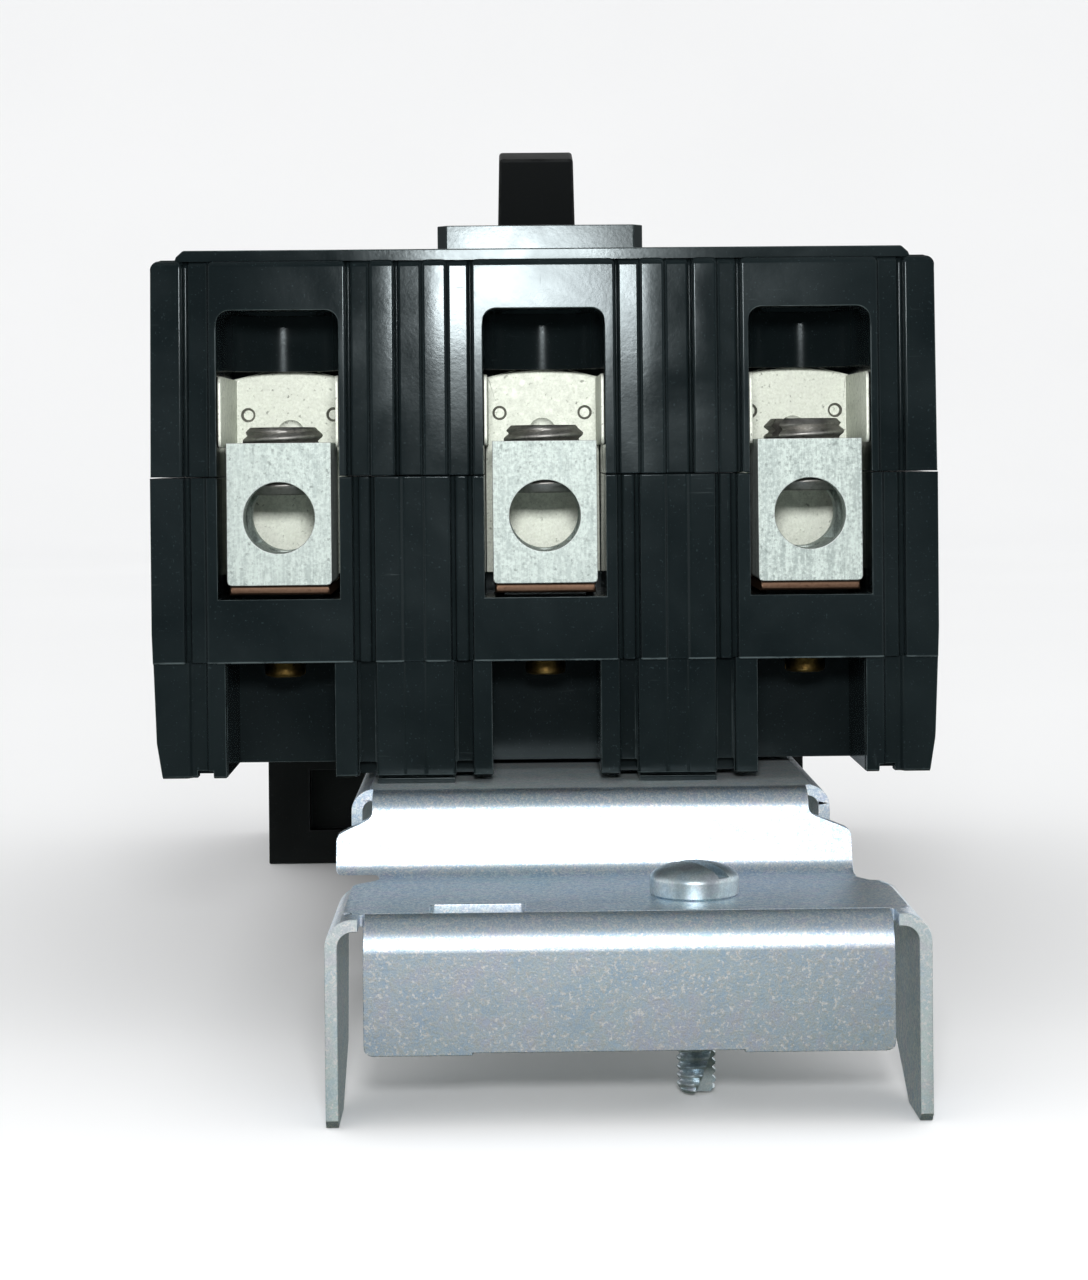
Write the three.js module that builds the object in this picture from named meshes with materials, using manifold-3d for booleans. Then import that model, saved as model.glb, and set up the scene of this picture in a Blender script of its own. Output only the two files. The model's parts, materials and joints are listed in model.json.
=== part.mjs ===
// Three-pole plug-on molded case circuit breaker of the 100 A frame size. Millimetres, +Z up.
//
// Everything is drawn in the body frame: X across the poles, Y from the load end (0) to the line
// end, Z from the back face of the base. The outer group then moves the origin to the middle of
// the footprint, on the surface that the bracket legs and the jaw housing stand on.

import * as THREE from 'three';
import { mergeVertices } from 'three/addons/utils/BufferGeometryUtils.js';
import Module from 'manifold-3d';

const wasm = await Module();
wasm.setup();

// ---------------------------------------------------------------- driving dimensions

const POLE_PITCH = 35.4;
const POLES = [-POLE_PITCH, 0, POLE_PITCH];
const PARTITION_X = POLE_PITCH / 2;

const BODY_HALF_WIDTH = 52.4;
const BODY_LENGTH = 152.4;
const WALL = 3;
const SEAM = 40;
const SEAM_GAP = 0.15;
const PLATEAU_HALF_WIDTH = 48.8;
const PLATEAU_TOP = 70.3;
const CORNER_TOP = 69;
const ESCUTCHEON_TOP = 75.5;
const ESCUTCHEON_HALF_WIDTH = 14.7;
const ESCUTCHEON_Y = [26, 126];

const CAVITY_Y = [26, 148];
const CAVITY_FLOOR = 4;
const CAVITY_TOP = 67;

const POCKET_HALF_WIDTH = 8.1;
const POCKET_DEPTH = 22.5;
const POCKET_FLOOR = 23.8;
const POCKET_TOP = 62.2;
const POCKET_STEP = 54.6;
const WELL_Y = 10.5;

const LEDGE_BOTTOM = 15.3;
const LUG_HALF_WIDTH = 6.975;
const LUG_Y = [1, 14.5];
const LUG_Z = [25.6, 44.6];
const LUG_BORE_RADIUS = 4.75;
const LUG_BORE_Z = 34.6;
const LUG_SCREW_Y = 7.75;
const LUG_SCREW_RADIUS = 5.5;
const LUG_SCREW_TIP = 37.6;
const LUG_SCREW_TOPS = [46.7, 46.7, 47.3];
const TERMINAL_SCREW_Y = 9;
const STRAP_THICKNESS = 1.3;

const HANDLE_PIVOT = [84, 34];
const HANDLE_TILT = THREE.MathUtils.degToRad(15);
const HANDLE_REACH = 58.3;
const HANDLE_SLOT = { halfWidth: 7.2, y: [66.5, 104.5] };

const CROSSBAR_AXIS = [66, 16];
const CONTACTS_OPEN = THREE.MathUtils.degToRad(25);
const LOWER_LINK_PIN = [9.19, 7.71];
const UPPER_LINK_PIN = [74, 50];
const UPPER_LINK_LENGTH = 13;
const LOWER_LINK_LENGTH = 14;
const CRADLE_PIVOT = [98, 44];
const TRIP_BAR_AXIS = [42, 52];
const TRIP_BUTTON = [27, 34];

const JAW_Y = [162, 175, 188];
const HOUSING_Y = [152.7, 196];
const HOUSING_HALF_WIDTH = 51.5;
const FLOOR_Z = -36;

const SHEET = 1.5;
const BRACKET_TOP = -0.9;
const LEDGE_TOP = -11.4;
const FLANGE_FRONT = -39.8;
const MOUNTING_SCREW = [17.6, -25];
const BRACKET_SCREWS = [[-PARTITION_X, 44], [PARTITION_X, 44]];
const COVER_SCREWS = [
  [-PARTITION_X, 32],
  [PARTITION_X, 32],
  [-PARTITION_X, 142],
  [PARTITION_X, 142],
];

const ROUND = 24;

// ---------------------------------------------------------------- materials

function finish(color, roughness, metalness) {
  return new THREE.MeshStandardMaterial({ color, roughness, metalness });
}

const FINISHES = {
  phenolic: () => finish(0x17191c, 0.42, 0),
  handlePlastic: () => finish(0x0b0b0c, 0.55, 0),
  aluminium: () => finish(0xc9cbc8, 0.42, 0.9),
  barrier: () => finish(0xc4beb0, 0.6, 0.4),
  copper: () => finish(0x9a5b41, 0.45, 0.9),
  brass: () => finish(0xb08a3c, 0.35, 0.9),
  zinc: () => finish(0xaab4bd, 0.35, 0.9),
  darkSteel: () => finish(0x77736c, 0.5, 0.9),
  redPlastic: () => finish(0x9c2a20, 0.5, 0),
  fibre: () => finish(0x6d4b38, 0.8, 0),
};

// ---------------------------------------------------------------- solids and booleans

function solid(geometry) {
  const bare = geometry.clone();
  bare.deleteAttribute('normal');
  bare.deleteAttribute('uv');
  const merged = mergeVertices(bare, 1e-4);
  return new wasm.Manifold(new wasm.Mesh({
    numProp: 3,
    vertProperties: new Float32Array(merged.attributes.position.array),
    triVerts: new Uint32Array(merged.index.array),
  }));
}

function geometryOf(shape) {
  const mesh = shape.getMesh();
  const geometry = new THREE.BufferGeometry();
  geometry.setAttribute('position', new THREE.BufferAttribute(new Float32Array(mesh.vertProperties), 3));
  geometry.setIndex(new THREE.BufferAttribute(new Uint32Array(mesh.triVerts), 1));
  geometry.computeVertexNormals();
  return geometry;
}

function union(...shapes) {
  return shapes.reduce((whole, next) => whole.add(next));
}

function less(shape, ...cutters) {
  return cutters.reduce((rest, cutter) => rest.subtract(cutter), shape);
}

function box([x0, x1], [y0, y1], [z0, z1]) {
  const geometry = new THREE.BoxGeometry(x1 - x0, y1 - y0, z1 - z0);
  geometry.translate((x0 + x1) / 2, (y0 + y1) / 2, (z0 + z1) / 2);
  return solid(geometry);
}

// The same box on the right and, mirrored, on the left.
function boxPair([x0, x1], y, z) {
  return union(box([x0, x1], y, z), box([-x1, -x0], y, z));
}

function rodX(radius, [x0, x1], [y, z], sides = ROUND) {
  const geometry = new THREE.CylinderGeometry(radius, radius, x1 - x0, sides);
  geometry.rotateZ(Math.PI / 2);
  geometry.translate((x0 + x1) / 2, y, z);
  return solid(geometry);
}

function rodY(radius, [y0, y1], [x, z], sides = ROUND) {
  const geometry = new THREE.CylinderGeometry(radius, radius, y1 - y0, sides);
  geometry.translate(x, (y0 + y1) / 2, z);
  return solid(geometry);
}

function rodZ(radius, [z0, z1], [x, y], sides = ROUND) {
  const geometry = new THREE.CylinderGeometry(radius, radius, z1 - z0, sides);
  geometry.rotateX(Math.PI / 2);
  geometry.translate(x, y, (z0 + z1) / 2);
  return solid(geometry);
}

function extrusion(points, depth) {
  const shape = new THREE.Shape(points.map(([u, v]) => new THREE.Vector2(u, v)));
  return new THREE.ExtrudeGeometry(shape, { depth, bevelEnabled: false });
}

// An outline of (y, z) points carried from x0 to x1.
function alongX(points, [x0, x1]) {
  const geometry = extrusion(points, x1 - x0);
  const turn = new THREE.Matrix4().makeBasis(
    new THREE.Vector3(0, 1, 0),
    new THREE.Vector3(0, 0, 1),
    new THREE.Vector3(1, 0, 0),
  );
  geometry.applyMatrix4(turn);
  geometry.translate(x0, 0, 0);
  return solid(geometry);
}

// An outline of (x, z) points carried from y0 to y1.
function alongY(points, [y0, y1]) {
  const geometry = extrusion(points, y1 - y0);
  geometry.rotateX(Math.PI / 2);
  geometry.translate(0, y1, 0);
  return solid(geometry);
}

// An outline of (x, y) points carried from z0 to z1.
function alongZ(points, [z0, z1]) {
  const geometry = extrusion(points, z1 - z0);
  geometry.translate(0, 0, z0);
  return solid(geometry);
}

// A turned piece: (radius, z) points from the axis, round and back to the axis.
function turned(profile, [x, y], sides = ROUND) {
  const geometry = new THREE.LatheGeometry(profile.map(([r, z]) => new THREE.Vector2(r, z)), sides);
  geometry.rotateX(Math.PI / 2);
  geometry.translate(x, y, 0);
  return solid(geometry);
}

// The right half of an outline, given from bottom to top, closed with its mirror image.
function mirrored(rightHalf) {
  const leftHalf = rightHalf.map(([u, v]) => [-u, v]).reverse();
  return [...rightHalf, ...leftHalf];
}

function arc([cu, cv], radius, fromDegrees, toDegrees, steps) {
  return Array.from({ length: steps + 1 }, (_, i) => {
    const angle = THREE.MathUtils.degToRad(fromDegrees + ((toDegrees - fromDegrees) * i) / steps);
    return [cu + radius * Math.cos(angle), cv + radius * Math.sin(angle)];
  });
}

// A bar with round ends between two points of its plane, as an outline.
function barOutline([au, av], [bu, bv], radius, steps = 8) {
  const heading = THREE.MathUtils.radToDeg(Math.atan2(bv - av, bu - au));
  return [
    ...arc([bu, bv], radius, heading - 90, heading + 90, steps),
    ...arc([au, av], radius, heading + 90, heading + 270, steps),
  ];
}

// The cut edge of a folded sheet: the centre line's corners, each bent to the given radius.
function foldedStrip(corners, thickness, bendRadius, steps = 4) {
  const line = corners.map(([u, v]) => new THREE.Vector2(u, v));
  const stations = [];
  const normalOf = (direction) => new THREE.Vector2(-direction.y, direction.x);
  const headings = line.slice(1).map((point, i) => point.clone().sub(line[i]).normalize());
  stations.push({ at: line[0], normal: normalOf(headings[0]) });
  for (let i = 1; i < line.length - 1; i += 1) {
    const before = headings[i - 1];
    const after = headings[i];
    const turn = Math.atan2(before.cross(after), before.dot(after));
    const reach = bendRadius * Math.tan(Math.abs(turn) / 2);
    const start = line[i].clone().addScaledVector(before, -reach);
    const side = Math.sign(turn);
    const centre = start.clone().addScaledVector(normalOf(before), side * bendRadius);
    for (let k = 0; k <= steps; k += 1) {
      const normal = normalOf(before).rotateAround(new THREE.Vector2(), (turn * k) / steps);
      stations.push({ at: centre.clone().addScaledVector(normal, -side * bendRadius), normal });
    }
  }
  stations.push({ at: line[line.length - 1], normal: normalOf(headings[headings.length - 1]) });
  const offset = (side) => stations.map(({ at, normal }) => {
    const point = at.clone().addScaledVector(normal, (side * thickness) / 2);
    return [point.x, point.y];
  });
  return [...offset(-1), ...offset(1).reverse()];
}

// A block whose top is smaller than its bottom, both centred on the Z axis.
function taperedBlock([bottomX, bottomY], [topX, topY], [z0, z1]) {
  const geometry = new THREE.BoxGeometry(2, 2, 2);
  const corners = geometry.attributes.position;
  for (let i = 0; i < corners.count; i += 1) {
    const atTop = corners.getZ(i) > 0;
    corners.setXYZ(
      i,
      corners.getX(i) * (atTop ? topX : bottomX),
      corners.getY(i) * (atTop ? topY : bottomY),
      atTop ? z1 : z0,
    );
  }
  return solid(geometry);
}

// A coil spring along +Z from the origin: closed wire of few sides.
function coil(radius, wire, length, turns) {
  const steps = turns * 8;
  const points = Array.from({ length: steps + 1 }, (_, i) => {
    const angle = (2 * Math.PI * i) / 8;
    return new THREE.Vector3(radius * Math.cos(angle), radius * Math.sin(angle), (length * i) / steps);
  });
  const section = new THREE.Shape(arc([0, 0], wire, 0, 288, 4).map(([u, v]) => new THREE.Vector2(u, v)));
  const path = new THREE.CatmullRomCurve3(points);
  return solid(new THREE.ExtrudeGeometry(section, { steps, extrudePath: path, bevelEnabled: false }));
}

// ---------------------------------------------------------------- the molded case

const CHAMBERS = [
  [-BODY_HALF_WIDTH + WALL, -PARTITION_X - 1],
  [-PARTITION_X + 1, PARTITION_X - 1],
  [PARTITION_X + 1, BODY_HALF_WIDTH - WALL],
];

function chambers(y, z) {
  return union(...CHAMBERS.map((x) => box(x, y, z)));
}

// Relief of the ribbed load end, measured from the middle of the breaker outwards: the pieces
// of wall between the pole panels are alternately proud and sunk, with narrow grooves between.
const COVER_SUNK_PANELS = [[10.0, 12.6], [16.4, 19.3], [23.2, 25.6], [44.7, 47.5]];
const COVER_GROOVES = [[9.5, 10.0], [19.3, 19.8], [25.6, 26.2], [47.5, 48.4]];
const SUNK_DEPTH = 0.8;
const GROOVE_DEPTH = 1.5;
const RELIEF_TOP = 68.4;

const BASE_CHANNELS = [[10.3, 12.0], [23.2, 24.9]];
const BASE_BAND = [16.3, 19.1];
const FOOT_GROOVES = [[9.6, 11.9, 4], [22.9, 24.9, 4], [45.1, 47.1, 7]];
const FOOT_SETBACK = 0.5;
const FOOT_RECESS = { halfWidth: 7.25, depth: 18.5 };
const BASE_FEET = [12.3, 22.6];

function coverBlank() {
  const side = [
    [BODY_HALF_WIDTH - 0.1, SEAM + SEAM_GAP],
    ...arc([BODY_HALF_WIDTH - 1.6, CORNER_TOP - 1.4], 1.4, 0, 90, 3),
    [PLATEAU_HALF_WIDTH + 0.2, CORNER_TOP],
    [PLATEAU_HALF_WIDTH, CORNER_TOP + 0.5],
    [PLATEAU_HALF_WIDTH - 0.9, PLATEAU_TOP],
  ];
  const nose = 1.3;
  const escutcheon = [
    [ESCUTCHEON_HALF_WIDTH - nose, ESCUTCHEON_Y[0]],
    [ESCUTCHEON_HALF_WIDTH, ESCUTCHEON_Y[0] + nose],
    [ESCUTCHEON_HALF_WIDTH, ESCUTCHEON_Y[1] - nose],
    [ESCUTCHEON_HALF_WIDTH - nose, ESCUTCHEON_Y[1]],
  ];
  return union(
    alongY(mirrored(side), [0, BODY_LENGTH]),
    alongZ(mirrored(escutcheon), [PLATEAU_TOP - 1, ESCUTCHEON_TOP]),
  );
}

// The wedge of plastic that a rounded edge along X lacks, at the front (facing -Y) or the back.
function edgeRounding(y, z, radius, inwards) {
  const corner = [y - inwards * 0.5, z + 0.5];
  const centre = [y + inwards * radius, z - radius];
  const sweep = inwards > 0 ? [180, 90] : [0, 90];
  return alongX(
    [[y - inwards * 0.5, z - radius], ...arc(centre, radius, sweep[0], sweep[1], 5), [centre[0], z + 0.5], corner],
    [-BODY_HALF_WIDTH - 1, BODY_HALF_WIDTH + 1],
  );
}

function coverPocket(pole) {
  const corner = 1.8;
  const half = POCKET_HALF_WIDTH;
  const mouth = [
    [pole + half, SEAM - 1],
    ...arc([pole + half - corner, POCKET_TOP - corner], corner, 0, 90, 4),
    ...arc([pole - half + corner, POCKET_TOP - corner], corner, 90, 180, 4),
    [pole - half, SEAM - 1],
  ];
  return union(
    alongY(mouth, [-1, WELL_Y]),
    rodZ(half, [POCKET_STEP - 1, POCKET_TOP], [pole, WELL_Y], 32),
    box([pole - half, pole + half], [WELL_Y - 1, POCKET_DEPTH], [SEAM - 1, POCKET_STEP]),
    rodZ(5.6, [POCKET_TOP - 1, PLATEAU_TOP + 1], [pole, WELL_Y]),
  );
}

// Vent slots for arc gases in the line end wall.
function vents(pole) {
  return union(...[44, 50, 56].map((z) => box([pole - 9, pole + 9], [CAVITY_Y[1] - 1, BODY_LENGTH + 1], [z, z + 3])));
}

function cover() {
  const cavityZ = [SEAM - 1, CAVITY_TOP];
  const bosses = COVER_SCREWS.map((at) => rodZ(4.4, [SEAM + SEAM_GAP, CAVITY_TOP + 1], at, 16));
  const buttonTower = rodZ(5.2, [57.5, CAVITY_TOP + 1], TRIP_BUTTON, 16);
  const shell = union(less(coverBlank(), chambers(CAVITY_Y, cavityZ)), ...bosses, buttonTower);
  const relief = [
    ...COVER_SUNK_PANELS.map((x) => boxPair(x, [-1, SUNK_DEPTH], [SEAM - 1, RELIEF_TOP])),
    ...COVER_GROOVES.map((x) => boxPair(x, [-1, GROOVE_DEPTH], [SEAM - 1, RELIEF_TOP])),
  ];
  const holes = COVER_SCREWS.flatMap((at) => [
    rodZ(1.9, [SEAM - 1, PLATEAU_TOP + 1], at, 12),
    rodZ(4, [PLATEAU_TOP - 2.5, PLATEAU_TOP + 1], at),
  ]);
  return less(
    shell,
    edgeRounding(0, PLATEAU_TOP, 1.8, 1),
    edgeRounding(BODY_LENGTH, PLATEAU_TOP, 1.8, -1),
    ...relief,
    ...POLES.map(coverPocket),
    ...POLES.map(vents),
    ...holes,
    box([-HANDLE_SLOT.halfWidth, HANDLE_SLOT.halfWidth], HANDLE_SLOT.y, [CAVITY_TOP - 1, ESCUTCHEON_TOP + 1]),
    box([-30, 30], [36, 48], [SEAM - 1, 58]),
    rodZ(3.4, [59, PLATEAU_TOP + 1], TRIP_BUTTON),
    rodZ(1.8, [57, 60], TRIP_BUTTON, 12),
  );
}

function basePocket(pole) {
  const half = POCKET_HALF_WIDTH;
  const recess = FOOT_RECESS;
  return union(
    less(
      box([pole - half, pole + half], [-1, POCKET_DEPTH], [POCKET_FLOOR, SEAM + 1]),
      box([pole - 5.5, pole + 5.5], [4, POCKET_DEPTH + 1], [POCKET_FLOOR - 1, POCKET_FLOOR + 0.5]),
    ),
    box([pole - recess.halfWidth, pole + recess.halfWidth], [-1, recess.depth], [-1, LEDGE_BOTTOM]),
    rodZ(2.4, [LEDGE_BOTTOM - 1, POCKET_FLOOR + 1], [pole, TERMINAL_SCREW_Y], 16),
    box([pole - 7, pole + 7], [POCKET_DEPTH - 1, CAVITY_Y[0] + 1], [POCKET_FLOOR + 0.5, 26]),
    box([pole - 7.5, pole + 7.5], [CAVITY_Y[1] - 1, BODY_LENGTH + 1], [5.5, 9.4]),
  );
}

function base() {
  const side = [
    [BODY_HALF_WIDTH - 1.2, 0],
    [BODY_HALF_WIDTH - 0.5, 4.8],
    [BODY_HALF_WIDTH, LEDGE_BOTTOM + 5],
    [BODY_HALF_WIDTH, SEAM],
  ];
  const frontReach = [-1, FOOT_SETBACK];
  const upper = [LEDGE_BOTTOM, SEAM + 1];
  const lower = [-1, LEDGE_BOTTOM];
  const bossSpots = [...COVER_SCREWS.map((at) => [at, SEAM]), ...BRACKET_SCREWS.map((at) => [at, 14])];
  const shell = union(
    less(alongY(mirrored(side), [0, BODY_LENGTH]), chambers(CAVITY_Y, [CAVITY_FLOOR, SEAM + 1])),
    boxPair(BASE_FEET, [FOOT_SETBACK, 70], [BRACKET_TOP, 1]),
    ...bossSpots.map(([at, top]) => rodZ(4.4, [CAVITY_FLOOR - 1, top], at, 16)),
  );
  return less(
    shell,
    box([-BODY_HALF_WIDTH - 1, BODY_HALF_WIDTH + 1], frontReach, lower),
    ...BASE_CHANNELS.map((x) => boxPair(x, [-1, 1.5], upper)),
    boxPair(BASE_BAND, [-1, 0.4], upper),
    ...FOOT_GROOVES.map(([x0, x1, depth]) => boxPair([x0, x1], [-1, depth], [-2, LEDGE_BOTTOM])),
    ...POLES.map(basePocket),
    ...COVER_SCREWS.map((at) => rodZ(1.9, [24, SEAM + 1], at, 12)),
    ...BRACKET_SCREWS.map((at) => rodZ(2.1, [-2, 11], at, 12)),
    box([-30, 30], [CROSSBAR_AXIS[0] - 8, CROSSBAR_AXIS[0] + 8], [8, SEAM + 1]),
  );
}

// The housing of the plug-on jaws: three slots run across it, one for each bus bar, and each
// pole's jaw sits astride its own slot.
function jawHousing() {
  const [front, back] = HOUSING_Y;
  const half = HOUSING_HALF_WIDTH;
  const outline = [[front, FLOOR_Z], [back, FLOOR_Z], [back, 16], [back - 14, 34], [front, 34]];
  const cavity = [[front - 1, -9], [back - WALL, -9], [back - WALL, 15], [back - 15.5, 31], [front - 1, 31]];
  const slots = JAW_Y.map((y) => box([-half - 1, half + 1], [y - 3.1, y + 3.1], [FLOOR_Z - 1, -12]));
  const seats = POLES.map((pole, i) => box([pole - 6.5, pole + 6.5], [JAW_Y[i] - 5.3, JAW_Y[i] + 5.3], [-31, -8]));
  const rooms = CHAMBERS.map(([x0, x1]) => alongX(cavity, [x0, x1]));
  return less(
    alongX(outline, [-half, half]),
    ...rooms,
    ...slots,
    ...seats,
    boxPair([24, 43.6], [front - 1, front + 3], [-29.6, -18]),
  );
}

// ---------------------------------------------------------------- terminals

function lug(pole) {
  return less(
    box([pole - LUG_HALF_WIDTH, pole + LUG_HALF_WIDTH], LUG_Y, LUG_Z),
    rodY(LUG_BORE_RADIUS, [LUG_Y[0] - 1, LUG_Y[1] + 1], [pole, LUG_BORE_Z], 32),
    rodZ(LUG_SCREW_RADIUS + 0.3, [31, LUG_Z[1] + 1], [pole, LUG_SCREW_Y], 32),
    rodZ(2.2, [LUG_Z[0] - 1, LUG_Z[0] + 5], [pole, TERMINAL_SCREW_Y], 12),
  );
}

function lugScrew(pole, top) {
  const radius = LUG_SCREW_RADIUS;
  const profile = [
    [0, LUG_SCREW_TIP],
    [radius - 0.9, LUG_SCREW_TIP],
    [radius, LUG_SCREW_TIP + 0.9],
    [radius, top - 0.7],
    [radius - 0.7, top],
    [0, top],
  ];
  const slot = box([pole - 6, pole + 6], [LUG_SCREW_Y - 0.7, LUG_SCREW_Y + 0.7], [top - 2.4, top + 1]);
  return less(turned(profile, [pole, LUG_SCREW_Y]), slot);
}

function terminalScrew(pole) {
  const profile = [
    [0, 12.2],
    [2.6, 12.2],
    [3.05, 12.7],
    [3.05, LEDGE_BOTTOM],
    [1.9, LEDGE_BOTTOM],
    [1.9, 29.4],
    [0, 29.4],
  ];
  const slot = box([pole - 4, pole + 4], [TERMINAL_SCREW_Y - 0.5, TERMINAL_SCREW_Y + 0.5], [11, 13.4]);
  return less(turned(profile, [pole, TERMINAL_SCREW_Y]), slot);
}

function loadStrap(pole) {
  const level = LUG_Z[0] - STRAP_THICKNESS / 2;
  const outline = foldedStrip([[1.6, level], [30, level], [30, 34]], STRAP_THICKNESS, 1.5);
  return less(
    alongX(outline, [pole - 6.7, pole + 6.7]),
    rodZ(2.3, [20, 28], [pole, TERMINAL_SCREW_Y], 12),
  );
}

// The folded fibre-and-steel barrier behind each lug, with wings along the pocket's side walls.
function barrierPlate(pole) {
  const half = POCKET_HALF_WIDTH - 0.1;
  const back = [
    [pole - half, 26.2],
    [pole + half, 26.2],
    [pole + half, 53.5],
    ...arc([pole, 24.6], 30, 74, 106, 6),
    [pole - half, 53.5],
  ];
  const wing = [[4.5, 46], [6, 44], [21.3, 44], [21.3, 53.5], [6, 53.5], [4.5, 52]];
  return union(
    alongY(back, [21.2, 22.2]),
    alongX(wing, [pole - half, pole - half + 0.6]),
    alongX(wing, [pole + half - 0.6, pole + half]),
  );
}

function bimetal(pole) {
  return box([pole - 4, pole + 4], [30.65, 31.85], [26.5, 57]);
}

function magnetYoke(pole) {
  const outline = [
    [pole - 7, 27.5],
    [pole + 7, 27.5],
    [pole + 7, 36],
    [pole + 5.5, 36],
    [pole + 5.5, 29],
    [pole - 5.5, 29],
    [pole - 5.5, 36],
    [pole - 7, 36],
  ];
  return alongZ(outline, [36, 50]);
}

// The flexible braid from the bimetal to the moving arm.
function flexBraid(pole) {
  const path = new THREE.CatmullRomCurve3([
    new THREE.Vector3(pole, 33.4, 40),
    new THREE.Vector3(pole, 38, 34),
    new THREE.Vector3(pole, 44, 20),
    new THREE.Vector3(pole, 52, 13),
    new THREE.Vector3(pole, 58.2, 11.5),
  ]);
  const section = new THREE.Shape(arc([0, 0], 1.5, 0, 315, 7).map(([u, v]) => new THREE.Vector2(u, v)));
  return solid(new THREE.ExtrudeGeometry(section, { steps: 12, extrudePath: path, bevelEnabled: false }));
}

function lineStrap(pole, jawY) {
  return union(
    box([pole - 6, pole + 6], [96, jawY + 4.8], [6.6, 8.6]),
    box([pole - 3, pole + 3], [98, 104.5], [8, 10.4]),
  );
}

function lineJaw(pole, jawY) {
  const blade = (y) => box([pole - 6, pole + 6], y, [-30, 6]);
  return union(
    box([pole - 6, pole + 6], [jawY - 5, jawY + 5], [4.6, 6.6]),
    blade([jawY - 5, jawY - 3.3]),
    blade([jawY + 3.3, jawY + 5]),
  );
}

function arcChute(pole) {
  const boards = union(
    box([pole - 9.5, pole - 8.3], [108, 138], [11, 38]),
    box([pole + 8.3, pole + 9.5], [108, 138], [11, 38]),
  );
  const plates = Array.from({ length: 6 }, (_, i) => {
    const z = 13 + i * 4.4;
    return less(
      box([pole - 9, pole + 9], [109, 137], [z, z + 1.3]),
      box([pole - 3.2, pole + 3.2], [108, 121], [z - 1, z + 3]),
    );
  });
  return union(boards, ...plates);
}

// ---------------------------------------------------------------- operating mechanism

// Drawn about the crossbar's axis, in the closed position.
function contactArm(pole) {
  const arm = [[-5.2, -1.2], [28, -3.2], [38.5, -3.2], [38.5, 1.2], [28, 1.2], [-5.2, 3.8]];
  return union(
    alongX(arm, [pole - 3, pole + 3]),
    box([pole - 3, pole + 3], [32, 38], [-5.4, -3]),
  );
}

function crossbar() {
  const [pinY, pinZ] = LOWER_LINK_PIN;
  const cheek = barOutline([0, 0], [pinY, pinZ], 3);
  return union(
    less(
      rodX(5.5, [-49, 49], [0, 0]),
      ...POLES.map((pole) => box([pole - 3.3, pole + 3.3], [-6, 6], [-2.3, 7])),
    ),
    alongX(cheek, [4, 6]),
    alongX(cheek, [-6, -4]),
    rodX(1.5, [-5, 5], [pinY, pinZ], 12),
  );
}

function mechanismFrame() {
  const outline = [[52, 4.2], [104, 4.2], [104, 50], [96, 60], [60, 60], [52, 50]];
  const openings = [
    rodX(6.3, [-16, 16], CROSSBAR_AXIS),
    rodX(2.3, [-16, 16], HANDLE_PIVOT, 12),
    rodX(2.3, [-16, 16], CRADLE_PIVOT, 12),
  ];
  return less(
    union(
      alongX(outline, [13, 14.5]),
      alongX(outline, [-14.5, -13]),
      box([-13.5, 13.5], [74, 92], [4.2, 5.7]),
    ),
    ...openings,
  );
}

function cradle() {
  const strap = [
    ...arc(CRADLE_PIVOT, 3.5, -100, 80, 6),
    [UPPER_LINK_PIN[0] + 4, UPPER_LINK_PIN[1] + 3.4],
    [UPPER_LINK_PIN[0] - 4, UPPER_LINK_PIN[1] + 3.4],
    [47.6, 51.5],
    [47.6, 46.5],
    [UPPER_LINK_PIN[0] - 4, UPPER_LINK_PIN[1] - 4],
  ];
  return union(
    alongX(strap, [6.2, 7.7]),
    alongX(strap, [-7.7, -6.2]),
    box([-7, 7], [47.6, 50.6], [47, 51]),
    rodX(1.5, [-7, 7], UPPER_LINK_PIN, 12),
    rodX(2, [7, 14.4], CRADLE_PIVOT, 12),
    rodX(2, [-14.4, -7], CRADLE_PIVOT, 12),
  );
}

// The knee between the two links, folded as it is with the contacts open.
function kneePoint() {
  const pin = new THREE.Vector2(...LOWER_LINK_PIN).rotateAround(new THREE.Vector2(), CONTACTS_OPEN);
  const lower = pin.add(new THREE.Vector2(...CROSSBAR_AXIS));
  const upper = new THREE.Vector2(...UPPER_LINK_PIN);
  const span = upper.clone().sub(lower);
  const reach = span.length();
  const along = (LOWER_LINK_LENGTH ** 2 - UPPER_LINK_LENGTH ** 2 + reach ** 2) / (2 * reach);
  const aside = Math.sqrt(LOWER_LINK_LENGTH ** 2 - along ** 2);
  const heading = span.normalize();
  const knee = lower.clone().addScaledVector(heading, along);
  knee.addScaledVector(new THREE.Vector2(-heading.y, heading.x), aside);
  return { lower: [lower.x, lower.y], upper: [upper.x, upper.y], knee: [knee.x, knee.y] };
}

function lowerLink({ lower, knee }) {
  return less(
    union(alongX(barOutline(lower, knee, 2.8), [-1.5, 1.5]), rodX(1.4, [-3, 3], knee, 12)),
    rodX(1.9, [-4, 4], lower, 12),
  );
}

function upperLink({ upper, knee }) {
  const bar = barOutline(upper, knee, 2.8);
  const middle = [(upper[0] * 0.62) + (knee[0] * 0.38), (upper[1] * 0.62) + (knee[1] * 0.38)];
  return less(
    union(
      alongX(bar, [3.4, 4.8]),
      alongX(bar, [-4.8, -3.4]),
      rodX(1.4, [-4, 4], middle, 12),
    ),
    rodX(1.9, [-6, 6], upper, 12),
  );
}

// Drawn upright about the handle's pivot.
function handleYoke() {
  const leg = [...arc([0, 0], 4, 180, 360, 8), [4, 27], [-4, 27]];
  return union(
    alongX(leg, [11, 12.2]),
    alongX(leg, [-12.2, -11]),
    box([-12.2, 12.2], [-5, 5], [25.5, 27]),
    rodX(2, [11.5, 14.4], [0, 0], 12),
    rodX(2, [-14.4, -11.5], [0, 0], 12),
  );
}

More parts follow.
